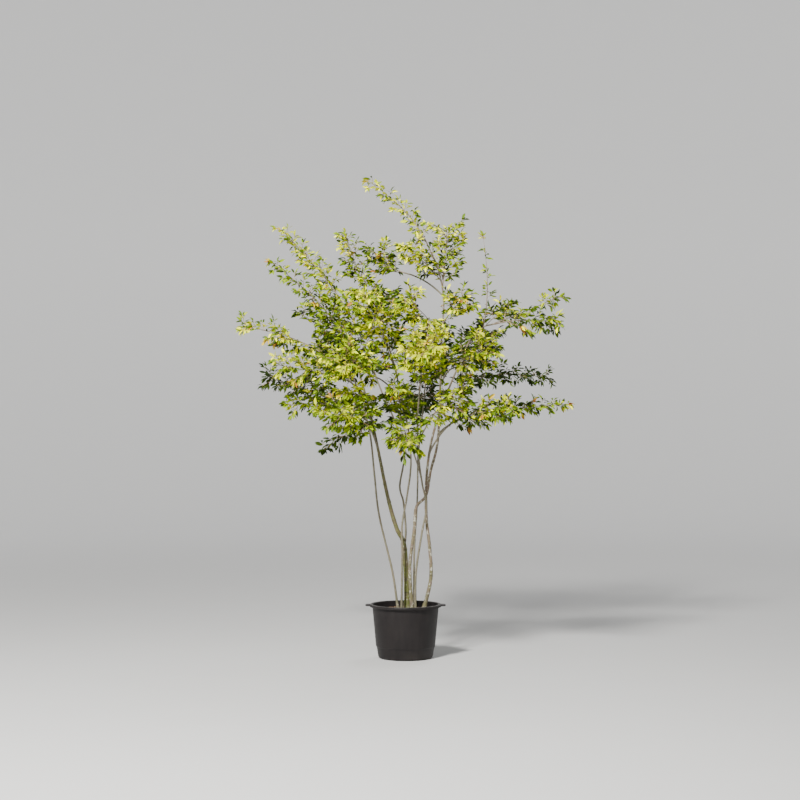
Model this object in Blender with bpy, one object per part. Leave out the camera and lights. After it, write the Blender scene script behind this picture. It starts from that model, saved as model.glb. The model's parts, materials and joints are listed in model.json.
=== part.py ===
"""Potted serviceberry: a young, many-stemmed Amelanchier in a round nursery pot.

Units are metres and +Z is up. The origin is the centre of the pot's flat underside, the
viewer stands on the -Y side and +X is to the viewer's right. Run it with
blender --background --python part.py, or from Blender's text editor.
"""

import math
import random
from typing import NamedTuple

import bmesh
import bpy
from mathutils import Quaternion, Vector
from mathutils.bvhtree import BVHTree
from mathutils.geometry import intersect_point_line

GAP = 0.0003
UP = Vector((0.0, 0.0, 1.0))

# ---------------------------------------------------------------- pot and potting mix
POT_SIDES = 24
POT_HEIGHT = 0.320
POT_WALL = 0.003
POT_FLOOR = 0.004
POT_FOOT_RADIUS = 0.162
POT_FOOT_ROUND = 0.010
STEP_HEIGHT = 0.066
STEP_RADIUS = 0.172
STEP_OUT = 0.004
STEP_RISE = 0.005
WALL_TOP_HEIGHT = 0.300
WALL_TOP_RADIUS = 0.197
RIM_RADIUS = 0.213
RIM_DROP = 0.015
RIM_THICKNESS = 0.0035
LUG_REACH = 0.240
LUG_THICKNESS = 0.005
LUG_HALF_ANGLE = math.radians(13.0)
LUG_STEPS = 4
LUG_TOP = POT_HEIGHT - 0.004
DRAIN_COUNT = 6
DRAIN_RADIUS = 0.008
DRAIN_RING = 0.125
DRAIN_SIDES = 8
SOIL_HEIGHT = 0.285
SOIL_EDGE_FALL = 0.004

# ---------------------------------------------------------------- limbs
STEM_SIDES = 6
STEM_RING_SPACING = 0.105
STEM_SETTLE = 1.3
FLARE_HEIGHT = 0.022
FLARE_SHARE = 0.75
BOUGH_SIDES = 4
BOUGH_STEPS = 4
BOUGH_TIP_RADIUS = 0.0042
BOUGH_BEND_PLACE = 0.42
BOUGH_RISE = 0.18
LIMB_CLEARANCE = 0.0015

# ---------------------------------------------------------------- twigs and leaves
SEED = 1807
GOLDEN_ANGLE = math.radians(137.5)
AXIS_STEPS = 5
AXIS_SETTLE = 0.70
ROOT_RISE = 0.30
TWIG_SIDES = 3
TWIG_BASE_RADIUS = 0.0046
TWIG_TIP_RADIUS = 0.0028
SIDE_TWIG_RADIUS = 0.0038
SIDE_SPACING = 0.066
PAIR_SPACING = 0.048
SIDE_ANGLE = math.radians(58.0)
SIDE_LIFT = 0.16
SIDE_LEAST = 0.042
SIDE_INSET = 0.087
SIDE_VARIATION = (0.90, 1.00)
FIRST_PLACE = 0.040
VERTICAL_SHARE = 0.72
LEAF_LENGTH = 0.140
LEAF_ASPECT = 0.52
LEAF_TRIES = 10
LEAF_THICKNESS = 0.0036
LEAF_WIDEST = 0.42
LEAF_FOLD = 0.006
LEAF_SINK = 0.0010
LEAF_SPACING = 0.038
LEAF_ANGLE = math.radians(52.0)
LEAF_DROOP = 0.30
LEAF_TURN = 0.7
LEAF_SIZES = (0.85, 1.10)
LEAF_ROLL_LOW = math.radians(30.0)
LEAF_ROLL_HIGH = math.radians(85.0)
END_LEAF_ROLL = math.radians(60.0)
END_LEAF_SHARE = 0.9
SPACE_LIMIT = 1.15
SPACE_OVERLAP = 0.12


class Stem(NamedTuple):
    """A limb that rises from the potting mix, or from a fork, through a few bends."""

    name: str
    bark: str
    foot_radius: float
    head_radius: float
    bends: tuple


class Bough(NamedTuple):
    """A tapering limb that leaves a parent limb at a height and ends at a point."""

    name: str
    parent: str
    height: float
    radius: float
    end: tuple


class Mass(NamedTuple):
    """A body of foliage: the limb that feeds it, its furthest tip and its reach.

    A height of None means that the limb's tip feeds it; otherwise it leaves the side of
    the limb at that height. Narrowing is the reach at the tip as a share of the reach,
    and bare is the share of its axis, from the root, that carries no leaves.
    """

    name: str
    limb: str
    height: float
    tip: tuple
    reach: float
    narrowing: float
    leaf: str
    bare: float = 0.0


STEMS = (
    Stem("stem_trunk", "bark_mossy", 0.0175, 0.0055, (
        (0.010, 0.020, 0.285), (0.005, 0.020, 0.480), (-0.010, 0.010, 0.675),
        (-0.056, -0.020, 0.780), (-0.108, -0.050, 0.970), (-0.172, -0.080, 1.288),
        (-0.212, -0.090, 1.470), (-0.275, -0.070, 1.700))),
    Stem("stem_leader", "bark_mottled", 0.0110, 0.0042, (
        (0.039, -0.030, 0.285), (0.025, -0.030, 0.540), (0.051, -0.025, 0.760),
        (0.064, -0.010, 0.896), (0.122, 0.015, 0.965), (0.150, 0.025, 1.110),
        (0.191, 0.030, 1.281), (0.206, 0.020, 1.580), (0.212, 0.005, 1.860),
        (0.226, 0.000, 2.128), (0.194, 0.000, 2.310), (0.134, 0.000, 2.450))),
    Stem("stem_centre", "bark_grey", 0.0064, 0.0046, (
        (-0.024, -0.045, 0.285), (-0.020, -0.045, 0.600), (-0.020, -0.040, 0.790),
        (0.010, -0.035, 0.970), (0.032, -0.030, 1.168), (0.010, -0.020, 1.400),
        (-0.035, -0.010, 1.604), (-0.085, 0.000, 1.800), (-0.150, 0.000, 1.960))),
    Stem("stem_left", "bark_grey", 0.0066, 0.0050, (
        (-0.045, 0.035, 0.285), (-0.079, 0.050, 0.511), (-0.158, 0.080, 0.843),
        (-0.186, 0.100, 1.080), (-0.214, 0.140, 1.330), (-0.270, 0.240, 1.540),
        (-0.310, 0.310, 1.650))),
    Stem("stem_front", "bark_grey", 0.0070, 0.0044, (
        (0.058, -0.070, 0.285), (0.061, -0.075, 0.511), (0.098, -0.085, 0.757),
        (0.124, -0.090, 0.908), (0.098, -0.115, 1.039), (0.077, -0.160, 1.199),
        (0.070, -0.260, 1.420), (0.080, -0.330, 1.590))),
    Stem("stem_right", "bark_mottled", 0.0115, 0.0042, (
        (0.108, -0.020, 0.285), (0.150, -0.030, 0.480), (0.142, -0.040, 0.665),
        (0.123, -0.045, 0.840), (0.125, -0.045, 1.080), (0.156, -0.050, 1.300),
        (0.225, -0.060, 1.520), (0.315, -0.055, 1.740), (0.390, -0.040, 1.900),
        (0.460, -0.035, 1.965), (0.550, -0.035, 1.988))),
    Stem("stem_rear", "bark_grey", 0.0058, 0.0044, (
        (0.050, 0.045, 0.285), (0.052, 0.060, 0.620), (0.068, 0.085, 0.880),
        (0.073, 0.110, 1.030), (0.076, 0.160, 1.180), (0.100, 0.270, 1.410),
        (0.120, 0.360, 1.600))),
)

FORK = Stem("stem_fork", "bark_grey", 0.0060, 0.0046, (
    (-0.009, 0.015, 0.650), (0.002, 0.040, 0.750), (-0.012, 0.060, 0.919),
    (-0.034, 0.070, 1.020), (-0.008, 0.080, 1.216), (-0.070, 0.095, 1.420),
    (-0.150, 0.110, 1.600), (-0.235, 0.120, 1.830)))
FORK_PARENT = "stem_trunk"

BOUGHS = (
    Bough("bough_far_left", "stem_trunk", 1.480, 0.0060, (-0.420, -0.120, 1.750)),
    Bough("bough_left_mid", "stem_trunk", 1.550, 0.0055, (-0.370, -0.260, 1.660)),
    Bough("bough_low_left", "stem_trunk", 1.370, 0.0055, (-0.340, -0.160, 1.480)),
    Bough("bough_low_front_left", "stem_trunk", 1.250, 0.0060, (-0.210, -0.260, 1.370)),
    Bough("bough_left_edge", "stem_fork", 1.680, 0.0045, (-0.370, 0.220, 1.880)),
    Bough("bough_left_front", "stem_centre", 1.500, 0.0045, (-0.160, -0.270, 1.660)),
    Bough("bough_top_centre", "stem_leader", 2.150, 0.0046, (0.000, 0.030, 2.290)),
    Bough("bough_right_mid", "stem_leader", 1.620, 0.0055, (0.280, -0.220, 1.720)),
    Bough("bough_back_right", "stem_leader", 1.680, 0.0050, (0.320, 0.230, 1.790)),
    Bough("bough_far_right", "stem_leader", 1.330, 0.0060, (0.370, 0.040, 1.430)),
    Bough("bough_low_right", "stem_right", 1.220, 0.0055, (0.260, -0.240, 1.390)),
    Bough("bough_low_centre", "stem_front", 1.080, 0.0045, (0.020, -0.260, 1.290)),
    Bough("bough_right_dark", "stem_rear", 1.300, 0.0045, (0.260, 0.290, 1.550)),
    Bough("bough_back_low", "stem_rear", 1.180, 0.0045, (0.070, 0.300, 1.410)),
)

MASSES = (
    Mass("foliage_leader", "stem_leader", None, (-0.255, 0.000, 2.858), 0.105, 0.75, "leaf_tips"),
    Mass("foliage_top_centre", "bough_top_centre", None, (-0.220, 0.090, 2.455), 0.180, 0.85,
         "leaf_sunlit"),
    Mass("foliage_top_inner", "stem_leader", 2.240, (-0.020, -0.180, 2.450), 0.160, 0.90,
         "leaf_sunlit"),
    Mass("foliage_top_right", "stem_leader", 2.190, (0.265, 0.110, 2.575), 0.180, 1.00,
         "leaf_sunlit"),
    Mass("foliage_right_inner", "stem_leader", 1.980, (0.360, -0.280, 2.145), 0.170, 0.90,
         "leaf_sunlit"),
    Mass("foliage_centre_high", "stem_leader", 1.900, (-0.030, -0.380, 2.140), 0.200, 0.90,
         "leaf_sunlit"),
    Mass("foliage_right_high", "stem_right", 1.850, (0.660, 0.250, 2.145), 0.140, 0.80,
         "leaf_sunlit"),
    Mass("foliage_right_shoot", "stem_right", 1.965, (0.455, 0.000, 2.545), 0.075, 0.90,
         "leaf_green", 0.10),
    Mass("foliage_right_long", "stem_right", None, (0.938, -0.080, 1.979), 0.175, 0.60,
         "leaf_sunlit"),
    Mass("foliage_right_tuft", "stem_right", 1.978, (0.965, 0.200, 2.175), 0.090, 1.00,
         "leaf_green", 0.66),
    Mass("foliage_right_mid", "bough_right_mid", None, (0.520, -0.560, 1.880), 0.205, 0.80,
         "leaf_sunlit"),
    Mass("foliage_front_centre", "stem_front", None, (0.120, -0.740, 1.870), 0.230, 0.80,
         "leaf_tips"),
    Mass("foliage_front_high", "stem_centre", 1.700, (-0.240, -0.450, 2.140), 0.200, 0.80,
         "leaf_sunlit"),
    Mass("foliage_upper_back", "stem_centre", 1.820, (-0.110, 0.280, 2.220), 0.180, 0.80,
         "leaf_green"),
    Mass("foliage_left_front", "bough_left_front", None, (-0.380, -0.720, 1.780), 0.220, 0.80,
         "leaf_sunlit"),
    Mass("foliage_centre_shoot", "stem_centre", None, (-0.374, 0.060, 2.565), 0.210, 0.40,
         "leaf_sunlit"),
    Mass("foliage_left_shoot_high", "stem_fork", None, (-0.785, 0.240, 2.597), 0.200, 0.40,
         "leaf_tips"),
    Mass("foliage_left_shoot_low", "stem_trunk", None, (-0.836, -0.050, 2.378), 0.200, 0.35,
         "leaf_green"),
    Mass("foliage_left_edge", "bough_left_edge", None, (-0.670, 0.370, 2.080), 0.160, 0.75,
         "leaf_green"),
    Mass("foliage_far_left", "bough_far_left", None, (-0.991, -0.150, 1.965), 0.200, 0.55,
         "leaf_sunlit"),
    Mass("foliage_left_mid", "bough_left_mid", None, (-0.780, -0.430, 1.740), 0.190, 0.70,
         "leaf_sunlit"),
    Mass("foliage_low_left", "bough_low_left", None, (-0.720, -0.250, 1.500), 0.160, 0.70,
         "leaf_green"),
    Mass("foliage_left_dark", "stem_left", 1.430, (-0.890, 0.360, 1.680), 0.160, 0.80,
         "leaf_shaded", 0.22),
    Mass("foliage_hanging_left", "stem_left", 1.370, (-0.530, 0.320, 1.212), 0.110, 0.85,
         "leaf_shaded", 0.42),
    Mass("foliage_low_front_left", "bough_low_front_left", None, (-0.420, -0.700, 1.455), 0.205,
         0.80, "leaf_green"),
    Mass("foliage_low_centre", "bough_low_centre", None, (0.030, -0.660, 1.240), 0.180, 0.80,
         "leaf_green"),
    Mass("foliage_low_inner", "stem_centre", 1.380, (-0.090, -0.440, 1.650), 0.180, 0.90,
         "leaf_green"),
    Mass("foliage_low_mid", "stem_front", 1.380, (0.370, -0.490, 1.560), 0.210, 0.85,
         "leaf_sunlit"),
    Mass("foliage_left_inner", "stem_trunk", 1.400, (-0.330, -0.540, 1.600), 0.170, 0.85,
         "leaf_green"),
    Mass("foliage_low_right", "bough_low_right", None, (0.640, -0.540, 1.500), 0.165, 0.75,
         "leaf_sunlit"),
    Mass("foliage_far_right", "bough_far_right", None, (0.995, -0.160, 1.512), 0.160, 0.40,
         "leaf_green"),
    Mass("foliage_right_dark", "bough_right_dark", None, (0.930, 0.450, 1.660), 0.150, 0.65,
         "leaf_shaded"),
    Mass("foliage_back_right", "bough_back_right", None, (0.560, 0.600, 2.000), 0.210, 0.80,
         "leaf_shaded"),
    Mass("foliage_back_centre", "stem_rear", None, (0.180, 0.760, 1.940), 0.230, 0.80,
         "leaf_shaded"),
    Mass("foliage_back_left", "stem_left", None, (-0.480, 0.740, 1.840), 0.215, 0.80,
         "leaf_shaded"),
    Mass("foliage_back_low", "bough_back_low", None, (0.160, 0.740, 1.580), 0.205, 0.80,
         "leaf_shaded"),
)

# base colour, roughness
FINISHES = {
    "pot_plastic": ((0.020, 0.017, 0.018), 0.55),
    "potting_mix": ((0.060, 0.042, 0.030), 0.95),
    "bark_mossy": ((0.130, 0.120, 0.050), 0.90),
    "bark_mottled": ((0.230, 0.180, 0.140), 0.85),
    "bark_grey": ((0.220, 0.190, 0.140), 0.85),
    "leaf_sunlit": ((0.420, 0.450, 0.060), 0.55),
    "leaf_green": ((0.230, 0.330, 0.045), 0.55),
    "leaf_shaded": ((0.110, 0.180, 0.030), 0.60),
    "leaf_tips": ((0.460, 0.400, 0.100), 0.55),
}


# ---------------------------------------------------------------- scene helpers
def clear_scene():
    """Remove every object that the open file holds."""
    for obj in list(bpy.data.objects):
        bpy.data.objects.remove(obj, do_unlink=True)


def finish(name):
    """Return the Principled material of one finish, made once."""
    material = bpy.data.materials.get(name)
    if material:
        return material
    colour, roughness = FINISHES[name]
    material = bpy.data.materials.new(name)
    material.use_nodes = True
    shader = material.node_tree.nodes["Principled BSDF"]
    shader.inputs["Base Color"].default_value = (*colour, 1.0)
    shader.inputs["Roughness"].default_value = roughness
    shader.inputs["Metallic"].default_value = 0.0
    return material


def new_object(name, shape, material=None, collection=None, smooth=False):
    """Make an object from a (vertices, faces) pair."""
    mesh = bpy.data.meshes.new(name)
    vertices, faces = shape
    mesh.from_pydata([tuple(v) for v in vertices], [], faces)
    if material:
        mesh.materials.append(material)
    obj = bpy.data.objects.new(name, mesh)
    (collection or bpy.context.scene.collection).objects.link(obj)
    if smooth:
        mesh.shade_smooth()
    return obj


def apply_modifiers(obj):
    """Replace an object's mesh with what its modifiers make of it."""
    depsgraph = bpy.context.evaluated_depsgraph_get()
    result = bpy.data.meshes.new_from_object(obj.evaluated_get(depsgraph))
    obj.modifiers.clear()
    obj.data = result


def combine(obj, operation, shapes):
    """Apply one Boolean of an object with a collection of closed shapes."""
    collection = bpy.data.collections.new("operands")
    bpy.context.scene.collection.children.link(collection)
    for shape in shapes:
        new_object("operand", shape, collection=collection)
    modifier = obj.modifiers.new("boolean", "BOOLEAN")
    modifier.operation = operation
    modifier.operand_type = "COLLECTION"
    modifier.collection = collection
    modifier.solver = "EXACT"
    apply_modifiers(obj)
    for operand in list(collection.objects):
        bpy.data.objects.remove(operand, do_unlink=True)
    bpy.data.collections.remove(collection)


def keep_outer_shell(obj):
    """Keep an object's largest shell: loose scrap goes and a sealed hollow is filled."""
    bm = bmesh.new()
    bm.from_mesh(obj.data)
    waiting = set(bm.verts)
    shells = []
    while waiting:
        front = [waiting.pop()]
        shell = set(front)
        while front:
            vertex = front.pop()
            for edge in vertex.link_edges:
                other = edge.other_vert(vertex)
                if other in waiting:
                    waiting.remove(other)
                    shell.add(other)
                    front.append(other)
        shells.append(shell)
    shells.sort(key=len, reverse=True)
    scrap = [vertex for shell in shells[1:] for vertex in shell]
    bmesh.ops.delete(bm, geom=scrap, context="VERTS")
    bm.to_mesh(obj.data)
    bm.free()
    return len(shells) - 1


# ---------------------------------------------------------------- shapes
def lathe(profile, sides):
    """Turn (radius, height) points about Z; a point of radius 0 closes on the axis."""
    vertices = []
    rings = []
    for radius, height in profile:
        ring = []
        for step in range(sides if radius > 0.0 else 1):
            angle = 2.0 * math.pi * step / sides
            ring.append(len(vertices))
            vertices.append((radius * math.cos(angle), radius * math.sin(angle), height))
        rings.append(ring)
    faces = []
    for low, high in zip(rings, rings[1:]):
        for step in range(sides):
            after = (step + 1) % sides
            corners = (low[step % len(low)], low[after % len(low)],
                       high[after % len(high)], high[step % len(high)])
            faces.append(tuple(dict.fromkeys(corners)))
    return vertices, faces


def ring_sector(inner, outer, bottom, top, middle, half_angle, steps):
    """Return a flat arc-shaped bar between two radii and two heights."""
    vertices = []
    for step in range(steps + 1):
        angle = middle + half_angle * (2.0 * step / steps - 1.0)
        across = (math.cos(angle), math.sin(angle))
        for radius, height in ((inner, bottom), (outer, bottom), (outer, top), (inner, top)):
            vertices.append((radius * across[0], radius * across[1], height))
    faces = [(0, 1, 2, 3), tuple(4 * steps + corner for corner in (3, 2, 1, 0))]
    for step in range(steps):
        here = 4 * step
        for corner in range(4):
            after = (corner + 1) % 4
            faces.append((here + after, here + corner, here + 4 + corner, here + 4 + after))
    return vertices, faces


def upright_cylinder(centre, radius, bottom, top, sides):
    """Return a closed cylinder along Z."""
    vertices, faces = lathe(((0.0, bottom), (radius, bottom), (radius, top), (0.0, top)), sides)
    return [(x + centre[0], y + centre[1], z) for x, y, z in vertices], faces


def frames_along(points, first=None):
    """Return a tangent and two cross directions at each point, without twist."""
    tangents = []
    for index in range(len(points)):
        before = points[max(index - 1, 0)]
        after = points[min(index + 1, len(points) - 1)]
        tangents.append((after - before).normalized())
    if first:
        tangents[0] = first.normalized()
    across = tangents[0].orthogonal().normalized()
    frames = []
    for tangent in tangents:
        across = (across - tangent * across.dot(tangent)).normalized()
        frames.append((tangent, across, tangent.cross(across)))
    return frames


def tube(points, radii, sides, first=None):
    """Return a closed tube with flat ends along a centre line."""
    vertices = []
    for point, radius, (_, across, beside) in zip(points, radii, frames_along(points, first)):
        for side in range(sides):
            angle = 2.0 * math.pi * side / sides
            offset = across * math.cos(angle) + beside * math.sin(angle)
            vertices.append(point + offset * radius)
    last = sides * (len(points) - 1)
    faces = [tuple(range(sides - 1, -1, -1)), tuple(range(last, last + sides))]
    for ring in range(0, last, sides):
        for side in range(sides):
            after = (side + 1) % sides
            faces.append((ring + side, ring + after, ring + sides + after, ring + sides + side))
    return vertices, faces


def leaf_blade(root, direction, normal, length):
    """Return an eight-faced folded blade that starts at its root."""
    side = direction.cross(normal).normalized()
    width = length * LEAF_ASPECT
    widest = root + direction * (length * LEAF_WIDEST)
    rib = widest - normal * LEAF_FOLD
    vertices = (
        root,
        widest + side * (width / 2.0),
        root + direction * length,
        widest - side * (width / 2.0),
        rib + normal * (LEAF_THICKNESS / 2.0),
        rib - normal * (LEAF_THICKNESS / 2.0),
    )
    faces = []
    for corner in range(4):
        after = (corner + 1) % 4
        faces.append((corner, after, 4))
        faces.append((after, corner, 5))
    return vertices, faces


# ---------------------------------------------------------------- centre lines
def smooth_path(bends, spacing):
    """Pass a Catmull-Rom curve through the bends, with even points along each span."""
    knots = [Vector(bend) for bend in bends]
    knots = [2.0 * knots[0] - knots[1]] + knots + [2.0 * knots[-1] - knots[-2]]
    points = [knots[1]]
    for before, start, end, after in zip(knots, knots[1:], knots[2:], knots[3:]):
        steps = max(1, round((end - start).length / spacing))
        for step in range(1, steps + 1):
            t = step / steps
            points.append(0.5 * (
                2.0 * start + (end - before) * t
                + (2.0 * before - 5.0 * start + 4.0 * end - after) * t ** 2
                + (3.0 * start - 3.0 * end + after - before) * t ** 3))
    return points


def at_height(points, height):
    """Return the point and direction where a rising centre line passes a height."""
    for low, high in zip(points, points[1:]):
        if low.z <= height <= high.z:
            share = (height - low.z) / (high.z - low.z)
            return low.lerp(high, share), (high - low).normalized()
    raise ValueError("the limb does not reach this height")


def bough_path(start, rise, end):
    """Curve from a parent's centre line to a point, leaving partly along the parent."""
    control = start.lerp(end, BOUGH_BEND_PLACE) + rise * ((end - start).length * BOUGH_RISE)
    points = []
    for step in range(BOUGH_STEPS + 1):
        t = step / BOUGH_STEPS
        points.append(start * (1.0 - t) ** 2 + control * (2.0 * t * (1.0 - t)) + end * t ** 2)
    return points


def axis_path(root, heading, tip):
    """Curve from a mass's root, along its limb's heading, to its furthest tip."""
    span = (tip - root).length
    leaving = heading * span
    arriving = (tip - root) * (1.0 + AXIS_SETTLE) - leaving * AXIS_SETTLE
    points = []
    for step in range(AXIS_STEPS + 1):
        t = step / AXIS_STEPS
        points.append(
            root * (2.0 * t ** 3 - 3.0 * t ** 2 + 1.0) + leaving * (t ** 3 - 2.0 * t ** 2 + t)
            + tip * (3.0 * t ** 2 - 2.0 * t ** 3) + arriving * (t ** 3 - t ** 2))
    return points


# ---------------------------------------------------------------- limbs
class Limb(NamedTuple):
    """A limb's centre line and its radius at each point."""

    points: list
    radii: list
    sides: int
    first: Vector

    def shape(self, swelling=0.0):
        """Return the limb's solid, thickened by a swelling measured on its flats."""
        extra = swelling / math.cos(math.pi / self.sides)
        return tube(self.points, [radius + extra for radius in self.radii], self.sides, self.first)


def taper(points, base, tip, settle=1.0):
    """Return radii that fall with length from base to tip, sooner where settle is over 1."""
    lengths = [0.0]
    for before, after in zip(points, points[1:]):
        lengths.append(lengths[-1] + (after - before).length)
    return [tip + (base - tip) * (1.0 - length / lengths[-1]) ** settle for length in lengths]


def planted_limb(stem):
    """Work out a stem that stands on the potting mix, with its root flare and level cut."""
    foot = Vector(stem.bends[0]) + UP * GAP
    second = Vector(stem.bends[1])
    collar = foot.lerp(second, FLARE_HEIGHT / (second.z - foot.z))
    points = smooth_path((foot, collar, *stem.bends[1:]), STEM_RING_SPACING)
    radii = [radius * (1.0 + FLARE_SHARE * math.exp(-(point.z - foot.z) / FLARE_HEIGHT))
             for point, radius in zip(points, taper(points, stem.foot_radius, stem.head_radius,
                                                    STEM_SETTLE))]
    return Limb(points, radii, STEM_SIDES, UP)


def forked_limb(stem):
    """Work out a stem that starts inside another."""
    points = smooth_path(stem.bends, STEM_RING_SPACING)
    radii = taper(points, stem.foot_radius, stem.head_radius, STEM_SETTLE)
    return Limb(points, radii, STEM_SIDES, None)


def bough_limb(bough, parent):
    """Work out a bough from its parent's centre line."""
    start, rise = at_height(parent.points, bough.height)
    points = bough_path(start, rise, Vector(bough.end))
    return Limb(points, taper(points, bough.radius, BOUGH_TIP_RADIUS), BOUGH_SIDES, None)


def build_limbs():
    """Make every stem and bough and return their centre lines by name."""
    limbs = {}
    for stem in STEMS:
        limbs[stem.name] = planted_limb(stem)
        new_object(stem.name, limbs[stem.name].shape(), finish(stem.bark), smooth=True)
    limbs[FORK.name] = forked_limb(FORK)
    build_side_limb(FORK.name, limbs[FORK.name], limbs[FORK_PARENT], FORK.bark)
    for bough in BOUGHS:
        parent = limbs[bough.parent]
        limbs[bough.name] = bough_limb(bough, parent)
        build_side_limb(bough.name, limbs[bough.name], parent, "bark_grey")
    return limbs


def build_side_limb(name, limb, parent, bark):
    """Make a limb that starts inside its parent, cut back until it is just clear of it."""
    obj = new_object(name, limb.shape(), finish(bark))
    combine(obj, "DIFFERENCE", [parent.shape(GAP)])
    keep_outer_shell(obj)
    obj.data.shade_smooth()


# ---------------------------------------------------------------- foliage
class Crown:
    """The spaces that the masses share, and the solids that they keep clear of."""

    def __init__(self, limbs):
        self.axes = {}
        self.roots = {}
        for mass in MASSES:
            limb = limbs[mass.limb]
            self.roots[mass.name] = self.root_of(mass, limb)
            root, heading = self.roots[mass.name]
            self.axes[mass.name] = axis_path(root, heading, Vector(mass.tip))
        self.solids = [BVHTree.FromPolygons(*limb.shape(LIMB_CLEARANCE))
                       for limb in limbs.values()]
        self.stems = {}
        for mass in MASSES:
            self.stems[mass.name] = [BVHTree.FromPolygons(*shape)
                                     for shape in self.stem_and_end_leaf(mass)]

    def root_of(self, mass, limb):
        """Return where a mass starts on its limb, and which way it leaves."""
        if mass.height is None:
            heading = frames_along(limb.points)[-1][0]
            return limb.points[-1] + heading * GAP, heading
        start, rise = at_height(limb.points, mass.height)
        outward = (Vector(mass.tip) - start).normalized()
        return start, (outward + rise * ROOT_RISE).normalized()

    def stem_and_end_leaf(self, mass):
        """Return the twig up the middle of a mass and the leaf that ends it at its tip."""
        axis = self.axes[mass.name]
        _, heading = self.roots[mass.name]
        tip = axis[-1]
        end, _ = axis_at(axis, 1.0 - LEAF_LENGTH * END_LEAF_SHARE / path_length(axis))
        points = [point for point in axis if (point - tip).length > LEAF_LENGTH * 1.1]
        points.append(end)
        radii = taper(points, TWIG_BASE_RADIUS, TWIG_TIP_RADIUS)
        direction = (tip - end).normalized()
        level = (UP - direction * direction.z).normalized()
        normal = Quaternion(direction, END_LEAF_ROLL) @ level
        root = end - direction * LEAF_SINK
        leaf = leaf_blade(root, direction, normal, (tip - root).length)
        return tube(points, radii, TWIG_SIDES, heading), leaf

    def add_solid(self, obj):
        """Remember a finished mass, which foliage built later must not touch."""
        vertices = [vertex.co for vertex in obj.data.vertices]
        faces = [tuple(face.vertices) for face in obj.data.polygons]
        self.solids.append(BVHTree.FromPolygons(vertices, faces))

    def is_clear(self, mass, shape):
        """Whether a piece touches no limb, no finished mass and no other mass's stem."""
        tree = BVHTree.FromPolygons(*shape)
        if any(solid.overlap(tree) for solid in self.solids):
            return False
        return not any(stem.overlap(tree) for name, stems in self.stems.items()
                       if name != mass.name for stem in stems)

    def nearness(self, mass, point):
        """Return a point's distance to a mass's axis as a share of its reach there."""
        axis = self.axes[mass.name]
        nearest = math.inf
        for index, (low, high) in enumerate(zip(axis, axis[1:])):
            _, share = intersect_point_line(point, low, high)
            share = min(max(share, 0.0), 1.0)
            along = (index + share) / AXIS_STEPS
            distance = (point - low.lerp(high, share)).length
            nearest = min(nearest, distance / reach_at(mass, along))
        return nearest

    def owns(self, mass, points):
        """Whether all the points lie in a mass's own space."""
        for point in points:
            own = self.nearness(mass, point)
            if own > SPACE_LIMIT:
                return False
            for other in MASSES:
                if other is not mass and self.nearness(other, point) < own - SPACE_OVERLAP:
                    return False
        return True


def reach_at(mass, along):
    """Return a mass's reach from its axis, which narrows towards the tip."""
    return mass.reach * (1.0 + (mass.narrowing - 1.0) * along)


def axis_at(axis, along):
    """Return the point and direction at a share of an axis."""
    place = min(along, 0.9999) * AXIS_STEPS
    index = int(place)
    low, high = axis[index], axis[index + 1]
    return low.lerp(high, place - index), (high - low).normalized()


def outward_from(tangent, roll):
    """Return a direction square to a tangent, flattened towards the level."""
    across = tangent.cross(UP)
    across = across.normalized() if across.length > 0.2 else tangent.orthogonal().normalized()
    direction = Quaternion(tangent, roll) @ across
    direction.z *= VERTICAL_SHARE
    return direction.normalized()


def leaf_at(point, twig_direction, outward, length, rng):
    """Return a leaf that leaves a twig sideways, droops and is rolled at random."""
    direction = twig_direction * math.cos(LEAF_ANGLE) + outward * math.sin(LEAF_ANGLE)
    direction.z -= LEAF_DROOP * rng.uniform(0.0, 1.0)
    direction.normalize()
    level = (UP - direction * direction.z).normalized()
    roll = rng.choice((-1.0, 1.0)) * rng.uniform(LEAF_ROLL_LOW, LEAF_ROLL_HIGH)
    normal = Quaternion(direction, roll) @ level
    length *= rng.uniform(*LEAF_SIZES)
    return leaf_blade(point - direction * LEAF_SINK, direction, normal, length)


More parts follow.
